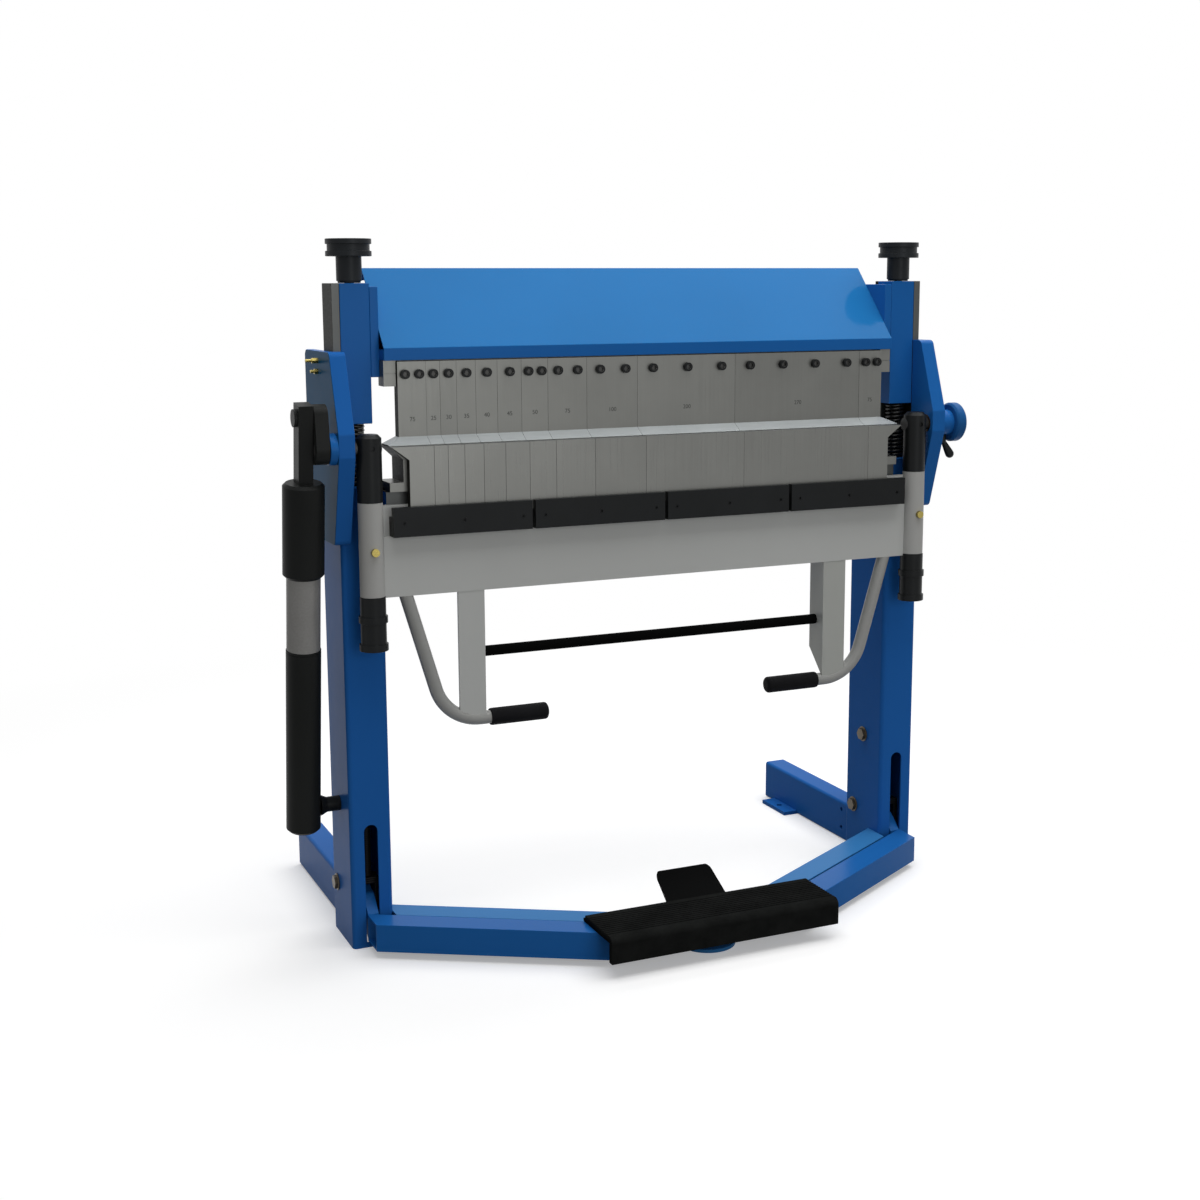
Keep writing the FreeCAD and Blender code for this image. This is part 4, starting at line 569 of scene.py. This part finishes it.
def lathe(
    name: str, outline: Sequence[tuple[float, float]], spot: Point = ORIGIN, turn: Point = ORIGIN,
    steps: int = 64,
) -> Piece:
    """Turn an outline round an axis.

    Args:
        name: Name of the piece.
        outline: Radius and height of each corner, from one end to the other.
        spot: Where the axis has height zero.
        turn: Rotation of the axis from upright, in radians.
        steps: Faces round the piece.

    Returns:
        The piece.
    """
    clear_selection()
    first = outline[0]
    bpy.ops.mesh.primitive_plane_add(size=SEED, location=(first[0], 0.0, first[1]))
    bpy.ops.object.transform_apply()
    switch("EDIT")
    bpy.ops.mesh.select_mode(type="VERT")
    bpy.ops.mesh.select_all(action="SELECT")
    bpy.ops.mesh.merge(type="CENTER")
    for start, stop in zip(outline[:-1], outline[1:]):
        move = (stop[0] - start[0], 0.0, stop[1] - start[1])
        bpy.ops.mesh.extrude_region_move(TRANSFORM_OT_translate={"value": move})
    bpy.ops.mesh.select_all(action="SELECT")
    bpy.ops.mesh.spin(steps=steps, angle=2 * math.pi, center=ORIGIN, axis=(0.0, 0.0, 1.0))
    switch("OBJECT")
    piece = bpy.context.object
    close_up(piece)
    piece.rotation_euler = turn
    piece.location = spot
    return settle(name)


def copy_of(piece: Piece, name: str, move: Point = ORIGIN, flip: bool = False) -> Piece:
    """Copy a piece with its own mesh.

    Args:
        piece: Piece to copy.
        name: Name of the copy.
        move: How far the copy moves, after a flip.
        flip: Mirror the copy in X.

    Returns:
        The copy.
    """
    take(piece)
    bpy.ops.object.duplicate()
    copy = bpy.context.object
    if flip:
        copy.scale = (-1.0, 1.0, 1.0)
        bpy.ops.object.transform_apply()
        close_up(copy)
    copy.location = move
    return settle(name)


def one_piece(name: str, parts: Sequence[Piece]) -> Piece:
    """Join several meshes into one piece with a given name."""
    clear_selection()
    for part in parts:
        part.select_set(True)
    bpy.context.view_layer.objects.active = parts[0]
    bpy.ops.object.join()
    return settle(name)


def reworked(node: str, width: float, reshape: Callable[[Piece], None] | None = None) -> Piece:
    """Merged copy of a CAD node with eased edges.

    Args:
        node: Name of the node.
        width: Width of the eased edges in metres.
        reshape: Changes the copy before its edges are eased.

    Returns:
        The copy.
    """
    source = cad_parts[node]
    piece = source.copy()
    piece.data = source.data.copy()
    piece.parent = None
    piece.matrix_world.identity()
    bpy.context.scene.collection.objects.link(piece)
    take(piece)
    bpy.ops.mesh.customdata_custom_splitnormals_clear()
    switch("EDIT")
    bpy.ops.mesh.select_all(action="SELECT")
    bpy.ops.mesh.remove_doubles(threshold=CAD_DOUBLE)
    bpy.ops.mesh.dissolve_limited(angle_limit=FLAT)
    switch("OBJECT")
    if reshape is not None:
        reshape(piece)
    ease_edges(piece, width)
    piece.name = "made_" + node
    piece.data.name = piece.name
    return piece


def both(name: str) -> list[str]:
    """The right and the left node's names for a name that ends with a star, or else the name alone."""
    return [name.replace("*", side) for side in ("right", "left")] if "*" in name else [name]


@dataclass
class Assembly:
    """Base of every sub-assembly: dresses pieces and hands them to their bodies."""

    shop: Paintshop

    def hand_over(self, piece: Piece, finish: Finish, slot: Slot, body: Body, *nodes: str) -> Piece:
        """Coat a piece, let it ride on its body and stand for its nodes.

        Args:
            piece: Finished piece.
            finish: Finish that it gets.
            slot: Slot of the piece; not used.
            body: Body that carries it.
            nodes: CAD nodes that it stands for.

        Returns:
            The piece.
        """
        self.shop.coat(piece, finish)
        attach(piece, body.value)
        if nodes:
            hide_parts(*nodes)
        log.info("%s: %d faces on %s", piece.name, len(piece.data.polygons), body.value)
        return piece

    def from_node(
        self, node: str, width: float, finish: Finish, slot: Slot, body: Body,
        reshape: Callable[[Piece], None] | None = None,
    ) -> Piece:
        """Dress a CAD node through an eased copy.

        Args:
            node: Name of the node.
            width: Width of the eased edges in metres.
            finish: Finish that it gets.
            slot: Slot of the piece.
            body: Body that carries it.
            reshape: Changes the copy before its edges are eased.

        Returns:
            The piece.
        """
        return self.hand_over(reworked(node, width, reshape), finish, slot, body, node)

    def dress(self, body: Body, rows: Sequence[tuple[str, float, Finish, Slot]]) -> dict[str, Piece]:
        """Dress several CAD nodes of one body.

        Args:
            body: Body that carries them.
            rows: Name, width of the eased edges, finish and slot of each node, where a name that ends
                with a star stands for the right and the left one.

        Returns:
            The pieces by the names of their nodes.
        """
        return {
            node: self.from_node(node, width, finish, slot, body)
            for name, width, finish, slot in rows for node in both(name)
        }

    def paint_flank_shade(self, piece: Piece) -> None:
        """Paint the faces that look sideways, also those in the joints between segments, near-black: painted
        shade.
        """
        self.shop.coat_faces(piece, FLANK_SHADE, lambda spot, normal: abs(normal.x) > SIDEWAYS)


# Sub-assemblies


@dataclass
class Stand(Assembly):
    """Columns, feet, floor bar, guides, cheeks and the lower beam with its segments."""

    plate_edge: float = 0.0016
    tube_edge: float = 0.0012
    bolt_edge: float = 0.0008
    bed_edge: float = 0.0005
    fine_edge: float = 0.0004
    flange_low: float = 0.797
    flange_high: float = 0.822
    rail_top: float = 0.848
    rail_drop: float = 0.01
    column_x: float = 0.551
    column_half: float = 0.0375
    lever_bolt: tuple[float, float] = (0.1346, 0.095)
    cross_bolt: tuple[float, float] = (0.103, 0.254)
    washer_radius: float = 0.0155
    washer_bore: float = 0.0078
    washer_height: float = 0.0025
    washer_bevel: float = 0.0006
    washer_steps: int = 40
    spring_y: float = 0.072
    spring_low: float = 0.8282
    spring_high: float = 0.9358
    spring_radius: float = 0.0165
    spring_wire: float = 0.0025
    spring_turns: int = 14
    spring_close: float = 0.0058
    wire_sides: int = 12
    turn_steps: int = 32

    def build(self) -> None:
        """Dress the standing pieces."""
        blue, steel, black = Slot.BLUE, Slot.GROUND, Slot.BLACK
        tube, bolt, fine = self.tube_edge, self.bolt_edge, self.fine_edge
        pieces = self.dress(Body.STAND, [
            ("column_*", tube, FRAME, blue), ("rear_foot_*", tube, FRAME, blue),
            ("base_stretcher", tube, BOUNCE_LIT_BLUE, blue), ("cheek_right", self.plate_edge, BLUE, blue),
            ("cheek_left", self.plate_edge, FRAME, blue), ("pivot_boss", tube, BLUE, blue),
            ("lower_beam", tube, BLUE, blue), ("angle_stop_collar", tube, BLUE, blue),
            ("slide_guide_*", bolt, RAIL, steel), ("pivot_bushes", fine, BRONZE, Slot.BRONZE),
            ("grease_nipples", fine, BRASS, Slot.BRASS), ("column_bolts", bolt, ZINC, black),
            ("balancer_anchor_pin", bolt, OXIDE, black),
        ])
        beam, low, top = pieces["lower_beam"], self.flange_low, self.flange_high - CLOSE
        self.shop.coat_faces(beam, RAIL, lambda spot, normal: normal.y < -HALF_ON and spot.z > low)
        # the beam's top faces under the rail get the near-black flank steel: painted shade under the rail
        self.shop.coat_faces(beam, FLANK_SHADE, lambda spot, normal: normal.z > LEANING and spot.z > top)
        bed = self.from_node("lower_segments", self.bed_edge, SEGMENT, steel, Body.STAND, self.lower_rail)
        self.paint_flank_shade(bed)
        # the left cheek's outward side face gets the darker blue: painted shade
        self.shop.coat_faces(pieces["cheek_left"], SIDE_SHADE, lambda spot, normal: normal.x < -FLAT_ON)
        for guide in both("slide_guide_*"):
            self.paint_flank_shade(pieces[guide])
        self.springs()
        self.washers()

    def lower_rail(self, bed: Piece) -> None:
        """Lower the ledge at both ends of the bed to the photographed height."""
        shift_part(bed, lambda corner: abs(corner.z - self.rail_top) < CLOSE / 2, (0.0, 0.0, -self.rail_drop))

    def springs(self) -> None:
        """Wind the two return springs: a closed turn at each end and open turns between."""
        span = self.spring_high - self.spring_low - 2 * self.spring_wire
        pitch = (span - 2 * self.spring_close) / (self.spring_turns - 2)
        start = self.spring_low + self.spring_wire
        parts = []
        for turns, rise in ((1, self.spring_close), (self.spring_turns - 2, pitch), (1, self.spring_close)):
            clear_selection()
            bpy.ops.mesh.primitive_circle_add(
                vertices=self.wire_sides, radius=self.spring_wire, location=(self.spring_radius, 0.0, start),
                rotation=ALONG_Y,
            )
            part = settle("coil")
            apply_modifier(
                part, "SCREW", axis="Z", angle=2 * math.pi, screw_offset=rise, iterations=turns,
                steps=self.turn_steps, render_steps=self.turn_steps,
            )
            parts.append(part)
            start += turns * rise
        coil = one_piece("return_coil_right", parts)
        close_up(coil)
        take(coil)
        switch("EDIT")
        bpy.ops.mesh.select_all(action="DESELECT")
        bpy.ops.mesh.select_mode(type="EDGE")
        bpy.ops.mesh.select_non_manifold()
        bpy.ops.mesh.edge_face_add()
        switch("OBJECT")
        coil.location = (self.column_x, self.spring_y, 0.0)
        settle("return_coil_right")
        ease_edges(coil, 0.0)
        other = copy_of(coil, "return_coil_left", flip=True)
        self.stretch(coil, self.column_x, "return_spring_right")
        self.stretch(other, -self.column_x, "return_spring_left")

    def stretch(self, coil: Piece, x: float, node: str) -> None:
        """Coat a coil that stands between the lower beam and the slider block that it lifts, bake its place
        into its mesh and hide the CAD spring.
        """
        self.shop.coat(coil, SPRING)
        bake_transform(coil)
        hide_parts(node)
        log.info("%s: %d faces between two bodies", coil.name, len(coil.data.polygons))

    def washers(self) -> None:
        """Turn one washer and lay a copy under each bolt head and nut on the columns' sides."""
        ring, bore = self.washer_radius, self.washer_bore
        height, bevel = self.washer_height, self.washer_bevel
        outline = [
            (bore, 0.0), (ring - bevel, 0.0), (ring, bevel), (ring, height - bevel), (ring - bevel, height),
            (bore, height), (bore, 0.0),
        ]
        first = lathe("washer", outline, turn=ALONG_X, steps=self.washer_steps)
        ease_edges(first, 0.0)
        half = self.column_half
        spots = []
        for side, bolts in ((1, (self.lever_bolt, self.cross_bolt)), (-1, (self.lever_bolt,))):
            for y, z in bolts:
                low, high = sorted(side * (self.column_x + step) for step in (-half, half))
                spots.extend([(low - height, y, z), (high, y, z)])
        rings = [copy_of(first, "washer", spot) for spot in spots]
        take(first)
        bpy.ops.object.delete()
        self.hand_over(one_piece("column_washers", rings), ZINC, Slot.BLACK, Body.STAND)


@dataclass
class ClampingBeam(Assembly):
    """Hood, slider blocks, tool holder, clamping segments with their bolts, and tie rods."""

    sheet_edge: float = 0.0011
    block_edge: float = 0.0014
    bolt_edge: float = 0.0007
    widths: tuple[float, ...] = (75, 25, 30, 35, 40, 45, 50, 75, 100, 200, 270, 75)
    horn_reach: float = 24.5
    mark_size: float = 0.0105
    mark_height: float = 0.9445
    mark_sag: float = 0.0045
    mark_rise: int = 6
    mark_face: float = 0.0225
    mark_depth: float = 0.0001
    segment_top: float = 1.042
    holder_back: float = 0.1
    holder_trim: float = 0.04
    bolt_height: float = 1.0205
    segment_edge: float = 0.0005
    bevel_gap: float = 0.01
    socket_deep: float = 0.0045
    socket_floor: float = 0.003
    socket_turn: float = 0.0001

    def build(self) -> None:
        """Dress the clamping beam."""
        blue, ground, block, bolt = Slot.BLUE, Slot.GROUND, self.block_edge, self.bolt_edge
        pieces = self.dress(Body.CLAMPING_BEAM, [
            ("hood", self.sheet_edge, HOOD_LIT, blue), ("upper_beam", block, BLUE, blue),
            ("slider_block_*", block, BLUE, blue), ("upper_segments", self.segment_edge, SEGMENT, ground),
            ("segment_bolts", bolt, OXIDE, Slot.BLACK), ("tie_rod_*", bolt, ROD, Slot.BRIGHT),
        ])
        # the hood's front faces keep the plain blue, darker than the painted light tint on its upper faces
        self.shop.coat_faces(pieces["hood"], BLUE, lambda spot, normal: normal.y < -FLAT_ON)
        row = pieces["upper_segments"]
        self.paint_flank_shade(row)
        # the upward sloped nose faces below the segments' top get the lighter bevel steel: painted light
        low = self.segment_top - self.bevel_gap
        self.shop.coat_faces(row, BEVEL, lambda spot, normal: normal.z > HALF_ON and spot.z < low)
        self.paint_socket_glints(pieces["segment_bolts"])
        self.from_node("tool_holder", bolt, SEGMENT, ground, Body.CLAMPING_BEAM, self.trim_holder)
        self.width_marks()

    def paint_socket_glints(self, bolts: Piece) -> None:
        """Give the walls and floors of the hexagon sockets a lighter steel: painted glints."""
        front = min(corner.co.y for corner in bolts.data.vertices)
        self.shop.coat_faces(
            bolts, SOCKET_GLINT,
            lambda spot, normal: spot.y < front + self.socket_deep and (
                normal.z * (spot.z - self.bolt_height) < -self.socket_turn
                or (normal.y < -FLAT_ON and spot.y > front + self.socket_floor)
            ),
        )

    def trim_holder(self, holder: Piece) -> None:
        """Bring the holder's back face forward, so that its ends stay behind the lugs."""
        shift_part(holder, lambda corner: corner.y > self.holder_back - CLOSE, (0.0, -self.holder_trim, 0.0))

    def centres(self) -> list[float]:
        """Middle of each segment's front face along X, in metres."""
        border = -sum(self.widths) / 2
        edges = [border]
        for width in self.widths:
            border += width
            edges.append(border)
        edges[0] += self.horn_reach
        edges[-1] -= self.horn_reach
        return [(left + right) / (2 * MM) for left, right in zip(edges[:-1], edges[1:])]

    def width_marks(self) -> None:
        """Engrave the width of each segment as a small number in its front face."""
        marks = []
        for place, (centre, width) in enumerate(zip(self.centres(), self.widths)):
            clear_selection()
            height = self.mark_height - self.mark_sag * max(0.0, 1 - place / self.mark_rise)
            bpy.ops.object.text_add(location=(centre, self.mark_face, height), rotation=ALONG_Y)
            text = bpy.context.object
            text.data.body = f"{width:g}"
            text.data.size = self.mark_size
            text.data.align_x = "CENTER"
            text.data.extrude = self.mark_depth
            bpy.ops.object.convert(target="MESH")
            marks.append(settle("mark"))
        self.hand_over(one_piece("width_marks", marks), INK, Slot.GROUND, Body.CLAMPING_BEAM)


@dataclass
class Handwheel(Assembly):
    """Handwheel on a tie rod: a spool with two gripping flanges on a plain hub."""

    axis_x: float = 0.551
    axis_y: float = 0.072
    low: float = 1.1743
    step_radius: float = 0.0195
    step_height: float = 0.0033
    hub_radius: float = 0.02175
    hub_height: float = 0.0412
    rim_radius: float = 0.039
    waist_radius: float = 0.036
    height: float = 0.0294
    flange: float = 0.009
    bore: float = 0.0082
    dish_rim: float = 0.42
    dish_floor: float = 0.38
    dish_depth: float = 0.0012
    edge: float = 0.0009
    steps: int = 72

    def outline(self) -> list[tuple[float, float]]:
        """Corners of the section from the bore at the bottom to the middle of the top."""
        step, hub, rim, waist = self.step_height, self.hub_radius, self.rim_radius, self.waist_radius
        wheel = step + self.hub_height
        top = wheel + self.height
        dish = top - self.dish_depth
        return [
            (self.bore, 0.0), (self.step_radius, 0.0), (self.step_radius, step), (hub, step), (hub, wheel),
            (rim, wheel), (rim, wheel + self.flange), (waist, wheel + self.flange),
            (waist, top - self.flange), (rim, top - self.flange), (rim, top), (rim * self.dish_rim, top),
            (rim * self.dish_floor, dish), (0.0, dish),
        ]

    def build(self) -> None:
        """Turn the right wheel and copy it to the left."""
        spot = (self.axis_x, self.axis_y, self.low)
        right = lathe("handwheel_spool_right", self.outline(), spot, steps=self.steps)
        ease_edges(right, self.edge)
        left = copy_of(right, "handwheel_spool_left", (-2 * self.axis_x, 0.0, 0.0))
        self.hand_over(right, WHEEL, Slot.BLACK, Body.WHEEL_RIGHT, "handwheel_right")
        self.hand_over(left, WHEEL, Slot.BLACK, Body.WHEEL_LEFT, "handwheel_left")


@dataclass
class Pedal(Assembly):
    """Pedal levers, cranked bar and the ribbed tread plate with its toe tab."""

    tube_edge: float = 0.0012
    plate_edge: float = 0.001
    mat_edge: float = 0.0006
    tread_back: float = -0.1731
    tread_more: float = 0.01

    def build(self) -> None:
        """Dress the pedal."""
        self.dress(Body.PEDAL, [
            ("pedal_lever_*", self.tube_edge, BLUE, Slot.BLUE),
            ("pedal_bar", self.tube_edge, BLUE, Slot.BLUE),
        ])
        self.from_node("pedal_plate", self.plate_edge, MATT, Slot.BLACK, Body.PEDAL, self.lengthen)
        self.from_node("pedal_mat", self.mat_edge, MAT, Slot.RUBBER, Body.PEDAL, self.lengthen)

    def lengthen(self, piece: Piece) -> None:
        """Move the back edge of the tread, with its toe tab, to the photographed depth."""
        shift_part(piece, lambda corner: corner.y > self.tread_back, (0.0, self.tread_more, 0.0))


@dataclass
class FoldingWing(Assembly):
    """Folding beam with blades, clamping strips, arms, brace legs, handles and crank."""

    tube_edge: float = 0.0011
    strip_edge: float = 0.0007
    blade_edge: float = 0.0004
    grip_radius: float = 0.0155
    grip_start: float = 0.2305
    grip_length: float = 0.1055
    grip_cap: float = 0.005
    grip_lip: float = 0.004
    lip_share: float = 0.96
    cap_shape: tuple[tuple[float, float], ...] = ((0.6, 1.0), (0.9, 0.55))
    grip_edge: float = 0.0012
    handle_radius: float = 0.012
    handle_y: float = 0.002
    handle_z: float = 0.409
    sleeve_low: float = 0.639
    sleeve_rise: float = 0.007

    def build(self) -> None:
        """Dress the wing."""
        black, grey, tube, strip = Slot.BLACK, Slot.GREY, self.tube_edge, self.strip_edge
        pieces = self.dress(Body.WING, [
            ("folding_beam", tube, GREY, grey), ("folding_segments", self.blade_edge, BLADE, Slot.GROUND),
            ("clamp_strips", strip, OXIDE, black), ("strip_screws", self.blade_edge, OXIDE, black),
            ("sleeve_screws", strip, BRASS, Slot.BRASS), ("pivot_block_*", strip, OXIDE, black),
            ("pivot_shafts", strip, SHAFT, Slot.BRIGHT), ("brace_leg_right", tube, SHADED, grey),
            ("brace_leg_left", tube, GREY, grey), ("brace_rod", strip, MATT, black),
            ("handle_*", 0.0, HANDLE, grey), ("balancer_crank", tube, BLACK, black),
        ])
        self.paint_flank_shade(pieces["folding_segments"])
        for node in both("arm_sleeve_*"):
            self.from_node(node, strip, SLEEVE, grey, Body.WING, self.shorten_sleeve)
        self.grips()

    def shorten_sleeve(self, sleeve: Piece) -> None:
        """Raise the sleeve's lower end to the photographed height."""
        shift_part(sleeve, lambda corner: corner.z < self.sleeve_low + CLOSE, (0.0, 0.0, self.sleeve_rise))

    def grips(self) -> None:
        """Turn the soft grips of both handles: a rounded cap, a plain barrel and a lip."""
        radius, cap, end = self.grip_radius, self.grip_cap, self.grip_length
        outline = [
            (0.0, -cap), *((radius * across, -cap * out) for across, out in self.cap_shape), (radius, 0.0),
            (radius, end - self.grip_lip), (radius * self.lip_share, end), (self.handle_radius, end),
        ]
        spot = (self.grip_start, self.handle_y, self.handle_z)
        right = lathe("grip_right", outline, spot, ALONG_X, steps=48)
        ease_edges(right, self.grip_edge, segments=3, limit=20)
        left = copy_of(right, "grip_left", flip=True)
        for grip in (right, left):
            self.hand_over(grip, GRIP, Slot.RUBBER, Body.WING, "handle_grips")


@dataclass
class Balancer(Assembly):
    """Weight balancer strut on the left side: tube, bright liner and sliding cup."""

    edge: float = 0.0012
    anchor: Point = (-0.654, 0.103, 0.254)
    lean: float = 0.1405
    rise: float = 0.014
    tube_radius: float = 0.0303
    tube_wall: float = 0.003
    tube_low: float = -0.043
    tube_plug: float = 0.04
    tube_top: float = 0.3
    tube_bevel: float = 0.005
    groove: tuple[float, ...] = (0.0055, 0.005, 0.003, 0.0025)
    groove_depth: float = 0.0008
    liner_radius: float = 0.0291
    liner_wall: float = 0.004
    liner_low: float = 0.26
    liner_top: float = 0.466
    lip: float = 0.001
    play: float = 0.0001
    cup_top: float = 0.582

    def build(self) -> None:
        """Turn the tube and its liner, and set the cup a little higher on its bar."""
        turn = (self.lean, 0.0, 0.0)
        radius, top, foot, lip = self.tube_radius, self.tube_top, self.tube_low, self.lip
        inside = radius - self.tube_wall
        narrow = radius - self.groove_depth
        start, floor, rise, stop = (top - depth for depth in self.groove)
        tube = lathe("balancer_tube_turned", [
            (0.0, foot), (radius - self.tube_bevel, foot), (radius, foot + self.tube_bevel),
            (radius, start), (narrow, floor), (narrow, rise), (radius, stop), (radius, top - lip),
            (radius - lip, top), (inside, top), (inside, self.tube_plug), (0.0, self.tube_plug),
        ], self.anchor, turn)
        outer, low, end = self.liner_radius, self.liner_low, self.liner_top
        inner = outer - self.liner_wall
        seat = inside - self.play
        step = top + 2 * self.play
        liner = lathe("balancer_liner_turned", [
            (inner, low), (seat, low), (seat, step), (outer, step), (outer, end - lip), (outer - lip, end),
            (inner, end), (inner, low),
        ], self.anchor, turn)
        for piece in (tube, liner):
            ease_edges(piece, 0.0)
        self.hand_over(tube, BLACK, Slot.BLACK, Body.STRUT_TUBE, "balancer_tube")
        self.hand_over(liner, LINER, Slot.BRIGHT, Body.STRUT_TUBE, "balancer_liner")
        self.from_node("balancer_sleeve", self.edge, BLACK, Slot.BLACK, Body.STRUT_CUP, self.raise_cup)

    def raise_cup(self, cup: Piece) -> None:
        """Slide the cup, but not the upper end of its bar, along the strut to the photographed place."""
        way = Vector((0.0, -math.sin(self.lean), math.cos(self.lean)))
        foot = Vector(self.anchor)
        top = self.cup_top + CLOSE
        shift_part(cup, lambda corner: (corner - foot).dot(way) < top, tuple(way * self.rise))


@dataclass
class Controls(Assembly):
    """Adjusting nuts, angle stop disc and its clamping lever."""

    edge: float = 0.0009
    knob_x: float = 0.63408
    knob_radius: float = 0.0065
    knob_swell: float = 1.3
    nut_rise: float = 0.0033

    def build(self) -> None:
        """Dress the small controls."""
        for node, body in zip(both("adjusting_nut_*"), (Body.NUT_RIGHT, Body.NUT_LEFT)):
            self.from_node(node, self.edge, OXIDE, Slot.BLACK, body, self.raise_nut)
        self.from_node("angle_stop_disc", self.edge, DISC_SHADE, Slot.BLUE, Body.STOP_DISC)
        self.from_node("stop_clamp_lever", self.edge, OXIDE, Slot.BLACK, Body.STOP_LEVER, self.swell_knob)

    def raise_nut(self, nut: Piece) -> None:
        """Raise a nut, and its top once more, so that it meets the arm sleeve above it."""
        top = max(corner.co.z for corner in nut.data.vertices)
        shift_part(nut, lambda corner: corner.z > top - CLOSE, (0.0, 0.0, self.nut_rise))
        shift_part(nut, lambda corner: True, (0.0, 0.0, self.nut_rise))

    def swell_knob(self, lever: Piece) -> None:
        """Thicken the free end of the clamping lever."""
        low = min(corner.co.z for corner in lever.data.vertices)
        centre = Vector((self.knob_x, 0.0, low + self.knob_radius))
        choose(lever, "VERT", lambda corner: (corner - centre).length < self.knob_radius + CLOSE)
        bpy.ops.transform.resize(value=(self.knob_swell,) * 3, center_override=centre)
        switch("OBJECT")


# Studio


def grey(level: float) -> tuple[float, float, float, float]:
    """Grey of a given level as a node's colour."""
    return (level, level, level, 1.0)


@dataclass
class Studio:
    """Camera of the photograph, soft lights, white world and floor."""

    camera_spot: Point = (-1.31925, -2.75368, 1.17868)
    camera_turn: Point = (80.409, 0.1706, -24.2986)
    lens: float = 50.415
    shift: tuple[float, float] = (-0.01812, -0.03046)
    sensor: float = 36.0
    clip_end: float = 200.0
    lamp_spot: Point = (0.8, 0.3, 3.6)
    lamp_size: float = 4.5
    lamp_power: float = 172.0
    fill_spot: Point = (0.2, -4.6, 1.5)
    fill_size: float = 2.2
    fill_power: float = 36.0
    level: float = 0.22
    floor_size: float = 60.0
    floor_white: float = 0.82
    floor_glow: float = 0.3
    floor_bounce: float = 0.27
    fade_start: float = 1.1
    fade_stop: float = 2.6

    def rays(self, board: Board) -> Socket:
        """Share that is one for camera, glossy and transmission rays."""
        path = board.add("ShaderNodeLightPath").outputs
        first = board.combine("MAXIMUM", path["Is Camera Ray"], path["Is Glossy Ray"])
        return board.combine("MAXIMUM", first, path["Is Transmission Ray"])

    def camera(self) -> None:
        """Place the camera."""
        clear_selection()
        bpy.ops.object.camera_add(
            location=self.camera_spot, rotation=[math.radians(angle) for angle in self.camera_turn]
        )
        camera = bpy.context.object
        camera.name = "photo_camera"
        camera.data.lens = self.lens
        camera.data.sensor_width = self.sensor
        camera.data.sensor_fit = "HORIZONTAL"
        camera.data.shift_x, camera.data.shift_y = self.shift
        camera.data.clip_end = self.clip_end
        bpy.context.scene.camera = camera

    def world(self) -> None:
        """White behind the object, a soft grey level for what it lights."""
        world = bpy.data.worlds.new("studio_world")
        bpy.context.scene.world = world
        board = Board(world, "ShaderNodeOutputWorld")
        soft, white = (
            board.add("ShaderNodeBackground", Color=grey(1.0), Strength=strength).outputs[0]
            for strength in (self.level, 1.0)
        )
        board.show(board.mix(self.rays(board), soft, white))

    def floor(self) -> None:
        """Pale floor that keeps the machine's shadow and runs out into white."""
        clear_selection()
        bpy.ops.mesh.primitive_plane_add(size=self.floor_size, location=ORIGIN)
        floor = settle("studio_floor")
        board = Board(bpy.data.materials.new("studio_floor"))
        spot = board.add("ShaderNodeTexCoord").outputs["Object"]
        far = board.add("ShaderNodeVectorMath", spot, operation="LENGTH").outputs["Value"]
        away = board.spread(far, 0.0, 1.0, self.fade_start, self.fade_stop)
        bounce, pale = (
            board.add("ShaderNodeBsdfDiffuse", Color=grey(level)).outputs[0]
            for level in (self.floor_bounce, self.floor_white)
        )
        glow, white = (
            board.add("ShaderNodeEmission", Strength=strength).outputs[0]
            for strength in (self.floor_glow, 1.0)
        )
        lit = board.add("ShaderNodeAddShader", pale, glow).outputs[0]
        board.show(board.mix(self.rays(board), bounce, board.mix(away, lit, white)))
        floor.data.materials.append(board.owner)

    def lamp(self, name: str, spot: Point, turn: Point, size: float, power: float) -> None:
        """Add a soft square lamp with a given side in metres and power in watts."""
        clear_selection()
        bpy.ops.object.light_add(type="AREA", location=spot, rotation=turn)
        lamp = bpy.context.object
        lamp.name = name
        lamp.data.shape = "SQUARE"
        lamp.data.size = size
        lamp.data.energy = power

    def build(self) -> None:
        """Set up the studio."""
        self.camera()
        self.world()
        self.floor()
        self.lamp("top_lamp", self.lamp_spot, ORIGIN, self.lamp_size, self.lamp_power)
        self.lamp("front_lamp", self.fill_spot, ALONG_Y, self.fill_size, self.fill_power)
        bpy.context.scene.view_settings.view_transform = "Standard"


def main() -> None:
    """Build the studio and the machine in order."""
    Studio().build()
    shop = Paintshop()
    for assembly in (Stand, ClampingBeam, Handwheel, Pedal, FoldingWing, Balancer, Controls):
        log.info("building %s", assembly.__name__)
        assembly(shop).build()
    clear_selection()


if __name__ == "__main__":
    main()
